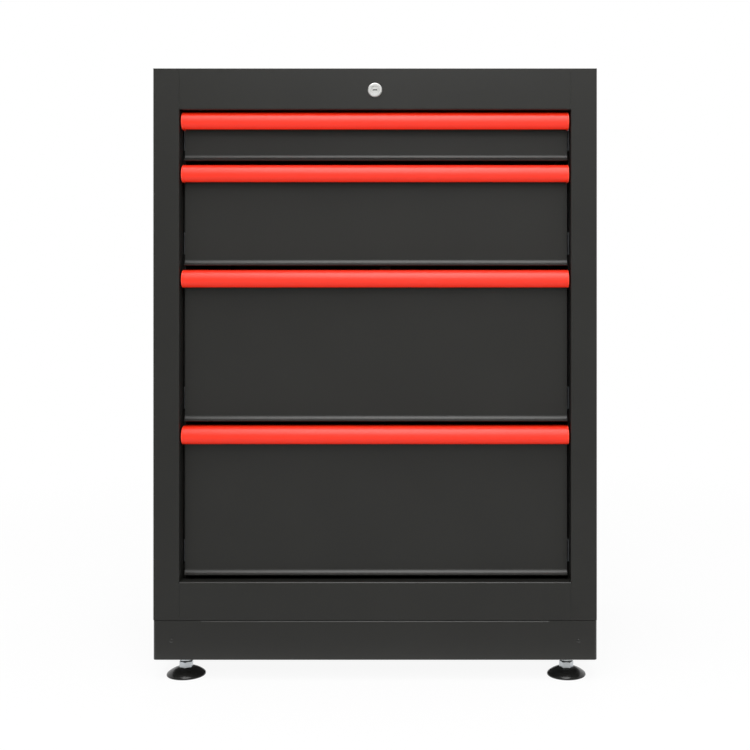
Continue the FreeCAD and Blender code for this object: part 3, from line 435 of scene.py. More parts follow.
def powder_coat(name, paint):
    """Baked polyester powder coat on steel: an even colour, a fine orange peel and a low sheen."""
    material, tree, place = start_material(name)
    cloud = add(tree, "ShaderNodeTexNoise", {"Vector": place, "Scale": per_metre(90), "Detail": 3.0})
    # the peel of a real coat is under a millimetre; it is drawn a little coarser so that it shows
    skin = add(tree, "ShaderNodeTexNoise", {"Vector": place, "Scale": per_metre(1.6), "Detail": 2.0})
    speck = add(tree, "ShaderNodeTexNoise", {"Vector": place, "Scale": per_metre(0.9), "Detail": 1.0})
    mixed = add(tree, "ShaderNodeMath", {0: cloud.outputs[0], 1: speck.outputs[0]}, operation="ADD")
    fac = add(tree, "ShaderNodeMapRange", {"Value": mixed.outputs[0], "From Min": 0.5, "From Max": 1.5})
    base = add(tree, "ShaderNodeMix", {
        "Factor": fac.outputs[0], 6: tone(paint, 0.9), 7: tone(paint, 1.1)}, data_type="RGBA")
    bump = add(tree, "ShaderNodeBump", {
        "Height": skin.outputs[0], "Distance": 0.03 * MM, "Strength": 0.4})
    gloss = add(tree, "ShaderNodeMapRange", {"Value": skin.outputs[0], "To Min": 0.28, "To Max": 0.38})
    shader = add(tree, "ShaderNodeBsdfPrincipled", {
        "Base Color": base.outputs[2], "Roughness": gloss.outputs[0], "Normal": bump.outputs[0]})
    add(tree, "ShaderNodeOutputMaterial", {"Surface": shader.outputs[0]})
    return material


def coated_extrusion(name, paint):
    """Red powder coat on extruded aluminium: satin, with the die's faint lines along it."""
    material, tree, place = start_material(name)
    lengthwise = add(tree, "ShaderNodeMapping", {
        "Vector": place, "Scale": (per_metre(400), per_metre(1.1), per_metre(1.1))})
    lines = add(tree, "ShaderNodeTexNoise", {
        "Vector": lengthwise.outputs[0], "Scale": 1.0, "Detail": 2.0})
    skin = add(tree, "ShaderNodeTexNoise", {"Vector": place, "Scale": per_metre(2.2), "Detail": 2.0})
    height = add(tree, "ShaderNodeMath", {0: lines.outputs[0], 1: skin.outputs[0]}, operation="ADD")
    bump = add(tree, "ShaderNodeBump", {
        "Height": height.outputs[0], "Distance": 0.01 * MM, "Strength": 0.2})
    base = add(tree, "ShaderNodeMix", {
        "Factor": lines.outputs[0], 6: tone(paint, 0.96), 7: tone(paint, 1.04)}, data_type="RGBA")
    gloss = add(tree, "ShaderNodeMapRange", {"Value": skin.outputs[0], "To Min": 0.33, "To Max": 0.41})
    shader = add(tree, "ShaderNodeBsdfPrincipled", {
        "Base Color": base.outputs[2], "Roughness": gloss.outputs[0], "Normal": bump.outputs[0]})
    add(tree, "ShaderNodeOutputMaterial", {"Surface": shader.outputs[0]})
    return material


def moulded_plastic(name, paint, low_gloss, high_gloss, grain):
    """Injection-moulded plastic: a smooth skin with the mould's fine grain."""
    material, tree, place = start_material(name)
    skin = add(tree, "ShaderNodeTexNoise", {"Vector": place, "Scale": per_metre(grain), "Detail": 2.0})
    cloud = add(tree, "ShaderNodeTexNoise", {"Vector": place, "Scale": per_metre(12), "Detail": 2.0})
    bump = add(tree, "ShaderNodeBump", {
        "Height": skin.outputs[0], "Distance": 0.02 * MM, "Strength": 0.25})
    base = add(tree, "ShaderNodeMix", {
        "Factor": cloud.outputs[0], 6: tone(paint, 0.92), 7: tone(paint, 1.08)}, data_type="RGBA")
    gloss = add(tree, "ShaderNodeMapRange", {
        "Value": cloud.outputs[0], "To Min": low_gloss, "To Max": high_gloss})
    shader = add(tree, "ShaderNodeBsdfPrincipled", {
        "Base Color": base.outputs[2], "Roughness": gloss.outputs[0], "Normal": bump.outputs[0]})
    add(tree, "ShaderNodeOutputMaterial", {"Surface": shader.outputs[0]})
    return material


def zinc_plate(name, paint):
    """Zinc-plated steel with a clear passivate: satin, clouded, and streaked along its rolling."""
    material, tree, place = start_material(name)
    cloud = add(tree, "ShaderNodeTexNoise", {"Vector": place, "Scale": per_metre(16), "Detail": 4.0})
    along = add(tree, "ShaderNodeMapping", {
        "Vector": place, "Scale": (per_metre(0.8), per_metre(30), per_metre(0.8))})
    streaks = add(tree, "ShaderNodeTexNoise", {"Vector": along.outputs[0], "Scale": 1.0, "Detail": 3.0})
    # the passivate drifts between a bluish and a yellowish cast
    cool = [paint[0] * 0.94, paint[1] * 0.98, min(paint[2] * 1.03, 1), 1]
    warm = [min(paint[0] * 1.03, 1), paint[1], paint[2] * 0.92, 1]
    tint = add(tree, "ShaderNodeMix", {"Factor": cloud.outputs[0], 6: cool, 7: warm}, data_type="RGBA")
    both = add(tree, "ShaderNodeMath", {0: cloud.outputs[0], 1: streaks.outputs[0]}, operation="ADD")
    gloss = add(tree, "ShaderNodeMapRange", {
        "Value": both.outputs[0], "From Max": 2.0, "To Min": 0.18, "To Max": 0.5})
    bump = add(tree, "ShaderNodeBump", {
        "Height": streaks.outputs[0], "Distance": 0.01 * MM, "Strength": 0.25})
    shader = add(tree, "ShaderNodeBsdfPrincipled", {
        "Base Color": tint.outputs[2], "Metallic": 1.0, "Roughness": gloss.outputs[0],
        "Normal": bump.outputs[0]})
    add(tree, "ShaderNodeOutputMaterial", {"Surface": shader.outputs[0]})
    return material


def polished_steel(name, paint):
    """Ground and polished bearing steel: nearly a mirror, with faint handling marks."""
    material, tree, place = start_material(name)
    marks = add(tree, "ShaderNodeTexNoise", {"Vector": place, "Scale": per_metre(3), "Detail": 5.0})
    base = add(tree, "ShaderNodeMix", {
        "Factor": marks.outputs[0], 6: tone(paint, 0.95), 7: tone(paint, 1.03)}, data_type="RGBA")
    gloss = add(tree, "ShaderNodeMapRange", {"Value": marks.outputs[0], "To Min": 0.08, "To Max": 0.26})
    shader = add(tree, "ShaderNodeBsdfPrincipled", {
        "Base Color": base.outputs[2], "Metallic": 1.0, "Roughness": gloss.outputs[0]})
    add(tree, "ShaderNodeOutputMaterial", {"Surface": shader.outputs[0]})
    return material


def nickel_plate(name, paint):
    """Nickel on a die-cast lock: satin, with the turned rings that polishing leaves round it."""
    material, tree, place = start_material(name)
    centred = add(tree, "ShaderNodeMapping", {
        "Vector": place, "Location": (0, 0, -LOCK_Z), "Scale": (1, 0.0001, 1)})
    rings = add(tree, "ShaderNodeTexWave", {
        "Vector": centred.outputs[0], "Scale": per_metre(6.3), "Distortion": 1.0, "Detail": 2.0},
        wave_type="RINGS", rings_direction="Y")
    grain = add(tree, "ShaderNodeTexNoise", {"Vector": place, "Scale": per_metre(0.8), "Detail": 3.0})
    bump = add(tree, "ShaderNodeBump", {
        "Height": rings.outputs[1], "Distance": 0.01 * MM, "Strength": 0.15})
    base = add(tree, "ShaderNodeMix", {
        "Factor": grain.outputs[0], 6: tone(paint, 0.95), 7: tone(paint, 1.03)}, data_type="RGBA")
    gloss = add(tree, "ShaderNodeMapRange", {"Value": grain.outputs[0], "To Min": 0.5, "To Max": 0.6})
    shader = add(tree, "ShaderNodeBsdfPrincipled", {
        "Base Color": base.outputs[2], "Metallic": 1.0, "Roughness": gloss.outputs[0],
        "Normal": bump.outputs[0]})
    add(tree, "ShaderNodeOutputMaterial", {"Surface": shader.outputs[0]})
    return material


finishes = {}


def mix_finishes():
    """Every finish of the cabinet, by the record's slot or by its own name."""
    c = bpy.context.scene.cabinet_finishes
    finishes.update({
        "grey_paint": powder_coat("grey_powder_coat_on_steel", c.shell),
        "handle_red": coated_extrusion("red_powder_coat_on_extruded_aluminium", c.pull),
        "cap_plastic": moulded_plastic("red_moulded_abs", c.cap, 0.26, 0.36, 0.9),
        "zinc_steel": zinc_plate("zinc_plated_steel", c.zinc),
        "bright_steel": polished_steel("polished_bearing_steel", c.steel),
        "lock_zinc": nickel_plate("nickel_plated_die_cast_zinc", c.nickel),
        "foot_plastic": moulded_plastic("black_moulded_nylon", c.nylon, 0.2, 0.3, 1.2),
        # the keyway's darker metal is painted shade in the recess
        "keyway": polished_steel("keyway_painted_shade", c.slot),
    })


# Pieces


class CABINET_OT_finishes(bpy.types.Operator):
    """Give every piece carried over from CAD its finish"""

    bl_idname = "cabinet.finishes"
    bl_label = "Finishes of the Steelwork"

    def execute(self, context):
        mix_finishes()
        for node in frame["nodes"].values():
            for holder in node.material_slots:
                name = holder.material.name.split(".")[0]
                if name not in finishes:
                    raise RuntimeError(f"{node.name} has a slot {name} with no finish")
                holder.material = finishes[name]
        return {"FINISHED"}


class CABINET_OT_steelwork(bpy.types.Operator):
    """Round the sheet edges of the shell, the rails, the plinth and the trays"""

    bl_idname = "cabinet.steelwork"
    bl_label = "Sheet Edges"

    def execute(self, context):
        sizes = context.scene.cabinet_sizes
        sheets = ["plinth_sides", "top_panel", "back_panel", "floor_panel", "foot_brackets", "slide_uprights"]
        for node in sheets + [f"drawer_{n}_tray" for n in DRAWERS]:
            piece = refined(node, sizes.edge)
            fit(piece, finishes["grey_paint"], "grey_paint", body_of(node), node)
        # the rails are welded between the stiles and ground flush, so no seam shows beside them
        for piece, node in ((welded("top_rail", "top_rail_dressed"), "top_rail"),
                            (over_plinth("bottom_rail", sizes.seam), "bottom_rail")):
            rounded(piece, sizes.edge, lambda at: abs(abs(at.x) - OPENING_HALF) < 1e-5)
            fit(piece, finishes["grey_paint"], "grey_paint", body_of(node), node)
        for node, side in (("left_side_panel", -1), ("right_side_panel", 1)):
            piece = rounded(over_plinth(node, sizes.seam), sizes.edge)
            welds = [ground_weld(sizes, side, OPENING_HIGH, RAIL_TOP),
                     ground_weld(sizes, side, PLINTH_TOP + sizes.seam, OPENING_LOW - sizes.fold)]
            piece = joined([piece] + welds, piece.name)
            fit(piece, finishes["grey_paint"], "grey_paint", body_of(node), node)
        for node in ("plinth_front", "plinth_rear"):
            # between the corners the plinth's upper edge is a fold, and at the corners it is cut
            piece = welded(node, f"{node}_dressed")
            bpy.ops.object.mode_set(mode="EDIT")
            for end in (-sizes.plinth_fold / 2, sizes.plinth_fold / 2):
                bpy.ops.mesh.select_all(action="SELECT")
                bpy.ops.mesh.bisect(plane_co=(end, 0, 0), plane_no=(1, 0, 0))
            choose(piece, "EDGE", lambda at, way: abs(at.z - PLINTH_TOP) < 1e-5
                   and abs(at.x) < sizes.plinth_fold / 2 - 1e-5
                   and (at.y < FRONT_Y + 1e-5 or at.y > BACK_Y - 1e-5))
            bpy.ops.mesh.bevel(offset=sizes.plinth_round, segments=5, affect="EDGES")
            bpy.ops.object.mode_set(mode="OBJECT")
            rounded(piece, sizes.edge)
            fit(piece, finishes["grey_paint"], "grey_paint", body_of(node), node)
        return {"FINISHED"}


def over_plinth(node, seam):
    """A welded copy of a sheet that stands on the plinth, with the open seam left under its lower edge."""
    piece = welded(node, f"{node}_dressed")
    choose(piece, "VERT", lambda at, way: abs(at.z - PLINTH_TOP) < 1e-5)
    bpy.ops.transform.translate(value=(0, 0, seam))
    bpy.ops.object.mode_set(mode="OBJECT")
    return piece


def ground_weld(sizes, side, low, high):
    """The weld that fills the round of a stile's inner edge beside a rail."""
    x = OPENING_HALF * side
    weld = start_point("weld", (x, FRONT_Y + sizes.fold, low))
    line(0, -sizes.fold, 0)
    line(sizes.fold * side, 0, 0)
    arc((x + sizes.fold * side, FRONT_Y + sizes.fold, low), (0, 0, 1), -90 * side, 8)
    close()
    bpy.ops.mesh.edge_face_add()
    line(0, 0, high - low)
    outwards()
    smooth(weld)
    return weld


class CABINET_OT_plated_hardware(bpy.types.Operator):
    """Round the edges of the slides, the catches and the lock's linkage"""

    bl_idname = "cabinet.plated_hardware"
    bl_label = "Plated Hardware"

    def execute(self, context):
        sizes = context.scene.cabinet_sizes
        hardware = ["slide_outer_members", "lock_bar", "lock_bar_guides", "lock_rod_hanger",
                    "lock_crank", "lock_nut"]
        for n in DRAWERS:
            hardware += [f"drawer_{n}_slide_members", f"drawer_{n}_catch"]
        slots = {row["node"]: row["material_slot"] for row in frame["record"]["subparts"]}
        for node in hardware:
            piece = refined(node, sizes.hardware_edge)
            fit(piece, finishes[slots[node]], slots[node], body_of(node), node)
        return {"FINISHED"}


def pull_line(sizes, x, top):
    """Draw a pull's outer line from its flange over the crown to the end of its lip."""
    front = FRONT_Y
    start_point("pull", (x, front + sizes.pull_depth, top))
    line(0, sizes.pull_crown - sizes.pull_depth, 0)
    arc((x, front + sizes.pull_crown, top - sizes.pull_crown), (1, 0, 0), 90, 18)
    arc((x, front + sizes.pull_lip, top - sizes.pull_crown), (1, 0, 0), math.degrees(sizes.lip_turn), 14)
    return bpy.context.object


class CABINET_OT_pulls(bpy.types.Operator):
    """Model the full-width pulls"""

    bl_idname = "cabinet.pulls"
    bl_label = "Pulls"

    def execute(self, context):
        sizes = context.scene.cabinet_sizes
        first = pull_line(sizes, -PULL_HALF, PULL_TOPS[1])
        bpy.ops.mesh.select_all(action="SELECT")
        line(PULL_HALF * 2, 0, 0)
        face_towards(first, lambda at: at.z > PULL_TOPS[1] - MM, (0, 0, 1))
        modify(first, "SOLIDIFY", thickness=sizes.pull_wall, offset=-1, use_even_offset=True)
        soften(first, 0.5 * MM, 3)
        smooth(first)
        pulls = {1: first}
        for n in DRAWERS[1:]:
            pulls[n] = copy_of(first, "pull", (0, 0, PULL_TOPS[n] - PULL_TOPS[1]))
        for n, pull in pulls.items():
            pull.name = pull.data.name = f"drawer_{n}_pull"
            fit(pull, finishes["handle_red"], "handle_red", f"drawer_{n}", f"drawer_{n}_handle")
        return {"FINISHED"}


class CABINET_OT_pull_caps(bpy.types.Operator):
    """Model the moulded caps on the pulls' ends"""

    bl_idname = "cabinet.pull_caps"
    bl_label = "Pull Caps"

    def execute(self, context):
        sizes = context.scene.cabinet_sizes
        turn = sizes.lip_turn
        end_depth = sizes.pull_lip * (1 - math.cos(turn))
        drop = sizes.pull_crown + sizes.pull_lip * math.sin(turn)
        ends = []
        for x, way in ((-CAP_HALF, 1), (CAP_HALF, -1)):
            cap = pull_line(sizes, x, PULL_TOPS[1])
            line(0, sizes.panel_recess - end_depth, 0)
            line(0, 0, drop - sizes.pull_wall)
            line(0, sizes.pull_depth - sizes.panel_recess, 0)
            line(0, 0, sizes.pull_wall)
            close()
            bpy.ops.mesh.edge_face_add()
            line(sizes.cap_thickness * way, 0, 0)
            outwards()
            # the cap's outer face is crowned, its inner face lies flat on the pull's end
            choose(cap, "FACE", lambda at, normal, x=x: abs(at.x - x) < 1e-6)
            bpy.ops.mesh.bevel(offset=0.7 * MM, segments=4, affect="EDGES")
            smooth(cap)
            ends.append(cap)
        first = joined(ends, "caps")
        pairs = {1: first}
        for n in DRAWERS[1:]:
            pairs[n] = copy_of(first, "caps", (0, 0, PULL_TOPS[n] - PULL_TOPS[1]))
        for n, pair in pairs.items():
            pair.name = pair.data.name = f"drawer_{n}_pull_caps"
            fit(pair, finishes["cap_plastic"], "cap_plastic", f"drawer_{n}", f"drawer_{n}_handle_caps")
        return {"FINISHED"}


class CABINET_OT_drawer_panels(bpy.types.Operator):
    """Model the folded drawer panels with their flared lower edges"""

    bl_idname = "cabinet.drawer_panels"
    bl_label = "Drawer Panels"

    def execute(self, context):
        sizes = context.scene.cabinet_sizes
        radius = (sizes.flare_depth ** 2 + sizes.flare_height ** 2) / (2 * sizes.flare_depth)
        sweep = math.degrees(math.atan2(sizes.flare_height, radius - sizes.flare_depth))
        back = FRONT_Y + sizes.pull_depth
        face = FRONT_Y + sizes.panel_recess
        nose = face - sizes.flare_depth
        for n in DRAWERS:
            low, high = PANELS[n]
            x = low.x
            panel = start_point(f"drawer_{n}_panel", (x, back, low.z))
            line(0, nose + sizes.flare_nose - back, 0)
            arc((x, nose + sizes.flare_nose, low.z + sizes.flare_nose), (1, 0, 0), -90, 6)
            centre = (x, face - radius, low.z + sizes.flare_nose + sizes.flare_height)
            arc(centre, (1, 0, 0), sweep, 14)
            line(0, 0, high.z - low.z - sizes.flare_nose - sizes.flare_height)
            line(0, back - face, 0)
            line(0, 0, low.z - high.z)
            close()
            bpy.ops.mesh.edge_face_add()
            line(high.x - low.x, 0, 0)
            outwards()
            choose(panel, "FACE", lambda at, normal: normal.y > 0.99)
            bpy.ops.mesh.delete(type="ONLY_FACE")
            choose(panel, "EDGE", lambda at, way: abs(at.y - back) < 1e-6
                   and at.z > high.z - 1e-6 and abs(way.x) > 0.1)
            line(0, 0, -sizes.panel_lip)
            bpy.ops.object.mode_set(mode="OBJECT")
            modify(panel, "SOLIDIFY", thickness=sizes.panel_sheet, offset=-1, use_even_offset=True)
            soften(panel, sizes.edge, 3, 40)
            smooth(panel)
            fit(panel, finishes["grey_paint"], "grey_paint", f"drawer_{n}", f"drawer_{n}_front")
        return {"FINISHED"}


class CABINET_OT_lock(bpy.types.Operator):
    """Model the lock's face and barrel, and the plug with its keyway"""

    bl_idname = "cabinet.lock"
    bl_label = "Lock"

    def execute(self, context):
        sizes = context.scene.cabinet_sizes
        low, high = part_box("lock_housing")
        middle = (0, FRONT_Y, LOCK_Z)
        chamfer = sizes.plug_edge
        housing = start_point("lock_face", (0, high.y, LOCK_Z + sizes.lock_bore))
        line(0, low.y + chamfer - high.y, 0)
        line(0, -chamfer, chamfer)
        line(0, 0, high.x - sizes.lock_rim - sizes.lock_bore - chamfer)
        rim = (0, low.y + sizes.lock_rim, LOCK_Z + high.x - sizes.lock_rim)
        arc(rim, (1, 0, 0), -90, 8)
        line(0, FRONT_Y - low.y - sizes.lock_rim, 0)
        line(0, 0, sizes.lock_barrel - high.x)
        line(0, high.y - FRONT_Y, 0)
        line(0, 0, sizes.lock_bore - sizes.lock_barrel)
        close()
        turned(middle, (0, 1, 0), 64)
        smooth(housing)
        fit(housing, finishes["lock_zinc"], "lock_zinc", "cabinet", "lock_housing")

        low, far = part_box("lock_plug")
        plug = start_point("lock_cylinder", (0, low.y, LOCK_Z))
        line(0, 0, sizes.plug - chamfer)
        line(0, chamfer, chamfer)
        line(0, far.y - sizes.plug_shoulder - low.y - chamfer, 0)
        line(0, 0, far.x - sizes.plug)
        line(0, sizes.plug_shoulder, 0)
        line(0, 0, -far.x)
        turned(middle, (0, 1, 0), 48)
        bpy.ops.mesh.dissolve_limited(angle_limit=math.radians(0.5))
        key = start_point("key", (-sizes.keyway / 2, low.y + sizes.keyway_depth, LOCK_Z))
        line(0, 0, sizes.keyway_gap / 2)
        line(sizes.keyway, 0, 0)
        line(0, 0, -sizes.keyway_gap)
        line(-sizes.keyway, 0, 0)
        line(0, 0, sizes.keyway_gap / 2)
        close()
        bpy.ops.mesh.edge_face_add()
        line(0, -sizes.keyway_depth - MM, 0)
        outwards()
        cut(plug, key)
        smooth(plug)
        plug = fit(plug, finishes["lock_zinc"], "lock_zinc", "lock_barrel", "lock_plug")
        # the faces inside the keyway get a darker metal: painted shade in the recess
        plug.data.materials.append(finishes["keyway"])
        for face in plug.data.polygons:
            at = face.center - Vector((0, 0, LOCK_Z))
            inside = abs(at.x) <= sizes.keyway / 2 + 1e-5 and abs(at.z) <= sizes.keyway_gap / 2 + 1e-5
            if inside and low.y + 1e-5 < at.y < low.y + sizes.keyway_depth + 1e-5:
                face.material_index = 1
        return {"FINISHED"}


def foot_middle(name):
    low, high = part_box(f"foot_stud_{name}")
    return (low + high) / 2


class CABINET_OT_foot_pads(bpy.types.Operator):
    """Model the moulded pads that the feet stand in"""

    bl_idname = "cabinet.foot_pads"
    bl_label = "Foot Pads"

    def execute(self, context):
        sizes = context.scene.cabinet_sizes
        low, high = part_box("foot_pad_front_left")
        at = (low + high) / 2
        radius, height = (high.x - low.x) / 2, high.z
        across = (0, -1, 0)
        pad = start_point("pad", (at.x, at.y, 0))
        line(radius - sizes.pad_sole, 0, 0)
        arc((at.x + radius - sizes.pad_sole, at.y, sizes.pad_sole), across, 90, 5)
        # over the rim, then up the flank in one long easy curve
        turn = math.radians(50)
        reach = radius - sizes.pad_rim
        arc((at.x + reach, at.y, sizes.pad_sole), across, math.degrees(turn), 8)
        flank = sizes.pad_flank - sizes.pad_rim
        middle = (reach - flank * math.cos(turn), sizes.pad_sole - flank * math.sin(turn))
        top = height - sizes.pad_collar
        sweep = math.asin((top - middle[1]) / sizes.pad_flank) - turn
        arc((at.x + middle[0], at.y, middle[1]), across, math.degrees(sweep), 14)
        collar = middle[0] + sizes.pad_flank * math.cos(turn + sweep)
        arc((at.x + collar - sizes.pad_collar, at.y, top), across, 90, 4)
        line(sizes.pad_collar - collar, 0, 0)
        turned((at.x, at.y, 0), (0, 0, 1), 72)
        smooth(pad)
        pads = {FEET[0]: pad}
        for name in FEET[1:]:
            pads[name] = copy_of(pad, "pad", foot_middle(name) - foot_middle(FEET[0]))
        for name, pad in pads.items():
            pad.name = pad.data.name = f"levelling_pad_{name}"
            fit(pad, finishes["foot_plastic"], "foot_plastic", f"foot_{name}", f"foot_pad_{name}")
        return {"FINISHED"}


def hexagon(name, flats, low, high):
    """A hexagonal bar round the z axis, with two flats square to x."""
    deselect()
    bpy.ops.mesh.primitive_circle_add(
        vertices=6, radius=flats / math.sqrt(3), fill_type="NGON", location=(0, 0, low))
    bar = bpy.context.object
    bar.name = bar.data.name = name
    bpy.ops.object.transform_apply(location=True, rotation=False, scale=False)
    bpy.ops.object.mode_set(mode="EDIT")
    bpy.ops.mesh.select_all(action="SELECT")
    line(0, 0, high - low)
    outwards()
    return bar


def turn_hexagon(piece, degrees, centre):
    """Turn a finished piece about a foot's own axis."""
    take(piece)
    bpy.ops.object.mode_set(mode="EDIT")
    bpy.ops.mesh.select_all(action="SELECT")
    bpy.ops.transform.rotate(value=math.radians(degrees), orient_axis="Z", center_override=centre)
    bpy.ops.object.mode_set(mode="OBJECT")


class CABINET_OT_foot_studs(bpy.types.Operator):
    """Model the threaded studs with their hexagons"""

    bl_idname = "cabinet.foot_studs"
    bl_label = "Foot Studs"

    def execute(self, context):
        sizes = context.scene.cabinet_sizes
        low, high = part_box("foot_stud_front_left")
        corner = sizes.hexagon_flats / math.sqrt(3)
        face = sizes.hexagon_flats / 2 - 0.3 * MM
        fall = (corner - face) * math.tan(math.radians(30))
        hex_top = low.z + sizes.stud_hexagon
        stud = hexagon("stud", sizes.hexagon_flats, low.z, hex_top)
        # a turned blank takes the hexagon's upper corners off
        blank = start_point("blank", (0, 0, low.z - MM))
        line(corner + MM, 0, 0)
        line(0, 0, hex_top - low.z + MM - fall * (corner + MM - face) / (corner - face))
        line(face - corner - MM, 0, fall * (corner + MM - face) / (corner - face))
        line(-face, 0, 0)
        turned((0, 0, 0), (0, 0, 1), 72)
        cut(stud, blank, "INTERSECT")

        start = hex_top - 0.4 * MM
        turns = math.ceil((high.z - start) / sizes.pitch) + 2
        flank = (sizes.thread - sizes.thread_root) * math.tan(math.radians(30))
        crest = sizes.pitch / 8
        thread = start_point("thread", (sizes.thread_root, 0, start - sizes.pitch))
        line(0, 0, sizes.pitch - crest - flank * 2)
        line(sizes.thread - sizes.thread_root, 0, flank)
        line(0, 0, crest)
        line(sizes.thread_root - sizes.thread, 0, flank)
        bpy.ops.object.mode_set(mode="OBJECT")
        modify(thread, "SCREW", angle=math.tau, screw_offset=sizes.pitch, iterations=turns, steps=28,
               render_steps=28, use_merge_vertices=True, merge_threshold=0.01 * MM)
        bpy.ops.object.mode_set(mode="EDIT")
        for height, clear in ((start, {"clear_inner": True}), (high.z, {"clear_outer": True})):
            bpy.ops.mesh.select_all(action="SELECT")
            bpy.ops.mesh.bisect(plane_co=(0, 0, height), plane_no=(0, 0, 1), use_fill=True, **clear)
        outwards()
        bpy.ops.object.mode_set(mode="OBJECT")
        stud = joined([stud, thread], "stud")
        smooth(stud)
        first = foot_middle(FEET[0])
        for name in FEET:
            middle = foot_middle(name)
            piece = copy_of(stud, f"levelling_stud_{name}", (middle.x, middle.y, 0))
            turn_hexagon(piece, TURNS[name], (middle.x, middle.y, first.z))
            fit(piece, finishes["zinc_steel"], "zinc_steel", f"foot_{name}", f"foot_stud_{name}")
        bpy.data.objects.remove(stud)
        return {"FINISHED"}


class CABINET_OT_foot_nuts(bpy.types.Operator):
    """Model the chamfered nuts on the studs"""

    bl_idname = "cabinet.foot_nuts"
    bl_label = "Foot Nuts"

    def execute(self, context):
        sizes = context.scene.cabinet_sizes
        corner = sizes.hexagon_flats / math.sqrt(3)
        face = sizes.hexagon_flats / 2 - 0.3 * MM
        fall = (corner - face) * math.tan(math.radians(30))
        bore, sink = sizes.thread + 0.05 * MM, 0.7 * MM
        nut = hexagon("nut", sizes.hexagon_flats, 0, sizes.nut_height)
        # a turned ring gives the nut its bore, its countersinks and its chamfers in one cut
        ring = start_point("ring", (bore, 0, sink))
        line(sink, 0, -sink)
        line(face - bore - sink, 0, 0)
        line(corner - face, 0, fall)
        line(0, 0, sizes.nut_height - fall * 2)
        line(face - corner, 0, fall)
        line(bore + sink - face, 0, 0)
        line(-sink, 0, -sink)
        close()
        turned((0, 0, 0), (0, 0, 1), 72)
        cut(nut, ring, "INTERSECT")
        smooth(nut)
        nuts = []
        for low, high in places_of("foot_nuts"):
            at = (low + high) / 2
            copy = copy_of(nut, "nut", (at.x, at.y, low.z))
            name = min(FEET, key=lambda foot: (foot_middle(foot) - at).length)
            turn_hexagon(copy, TURNS[name], (at.x, at.y, at.z))
            nuts.append(copy)
        bpy.data.objects.remove(nut)
        fit(joined(nuts, "levelling_nuts"), finishes["zinc_steel"], "zinc_steel", "cabinet", "foot_nuts")
        return {"FINISHED"}


class CABINET_OT_rivets(bpy.types.Operator):
    """Model the domed rivets of the plinth and of the slides"""

    bl_idname = "cabinet.rivets"
    bl_label = "Rivets"

    def execute(self, context):
        plinth, slides = [], []
        for low, high in places_of("rivets"):
            at = (low + high) / 2
            if high.y < FRONT_Y + 2 * MM:
                # on the plinth the dome looks to the front
                head, shank = (high.x - low.x) / 2, 1.5 * MM
                rim = 0.2 * MM
                dome = FRONT_Y - rim - low.y
                rivet = start_point("rivet", (at.x, high.y, at.z))
                line(shank, 0, 0)
                line(0, FRONT_Y - high.y, 0)
                line(head - shank, 0, 0)
                line(0, -rim, 0)
                ball = (head ** 2 + dome ** 2) / (2 * dome)
                arc((at.x, low.y + ball, at.z), (0, 0, 1), -math.degrees(math.asin(head / ball)), 6)
                turned(tuple(at), (0, 1, 0), 28)
                plinth.append(rivet)
            else:
                # on a slide it looks away from the drawer
                side = 1 if at.x > 0 else -1
                inner, outer = (low.x, high.x) if side > 0 else (high.x, low.x)
                head, shank = (high.z - low.z) / 2, 2.5 * MM
                rim, dome = 0.3 * MM, 1.2 * MM
                rivet = start_point("rivet", (inner, at.y, at.z))
                line(0, 0, shank)
                line(outer - inner - (rim + dome) * side, 0, 0)
                line(0, 0, head - shank)
                line(rim * side, 0, 0)
                ball = (head ** 2 + dome ** 2) / (2 * dome)
                arc((outer - ball * side, at.y, at.z), (0, 1, 0),
                    math.degrees(math.asin(head / ball)) * side, 5)
                turned(tuple(at), (1, 0, 0), 24)
                slides.append(rivet)
            smooth(rivet)
        # the plinth's rivets were set before it was painted
        fit(joined(plinth, "plinth_rivets"), finishes["grey_paint"], "grey_paint", "cabinet", "rivets")
        fit(joined(slides, "slide_rivets"), finishes["zinc_steel"], "zinc_steel", "cabinet", "rivets")
        return {"FINISHED"}


class CABINET_OT_back_screws(bpy.types.Operator):
    """Model the cross-recessed screws of the back panel"""

    bl_idname = "cabinet.back_screws"
    bl_label = "Back Screws"

    def execute(self, context):
        places = places_of("back_panel_screws")
        low, high = places[0]
        at = (low + high) / 2
        head, shank, rim = (high.x - low.x) / 2, 1.9 * MM, 0.4 * MM
        dome = high.y - BACK_Y - rim
        ball = (head ** 2 + dome ** 2) / (2 * dome)
        screw = start_point("screw", (at.x, low.y, at.z))
        line(shank, 0, 0)
        line(0, BACK_Y - low.y, 0)
        line(head - shank, 0, 0)
        line(0, rim, 0)
        arc((at.x, high.y - ball, at.z), (0, 0, 1), math.degrees(math.asin(head / ball)), 8)
        turned(tuple(at), (0, 1, 0), 32)
        for long, wide in ((2.1, 0.42), (0.42, 2.1)):
            # a blade of the driver, narrower at its tip
            blade = start_point("blade", (at.x - long * MM, high.y + 0.2 * MM, at.z - wide * MM))
            line(2 * long * MM, 0, 0)
            line(0, 0, 2 * wide * MM)
            line(-2 * long * MM, 0, 0)
            line(0, 0, -2 * wide * MM)
            close()
            bpy.ops.mesh.edge_face_add()
            line(0, -1.7 * MM, 0)
            bpy.ops.transform.resize(value=(0.6, 1, 0.6), center_override=tuple(at))
            outwards()
            cut(screw, blade)
        smooth(screw)
        copies = [copy_of(screw, "screw", place[0] - low) for place in places]
        bpy.data.objects.remove(screw)
        fit(joined(copies, "back_screws"), finishes["zinc_steel"], "zinc_steel", "cabinet",
            "back_panel_screws")
        return {"FINISHED"}


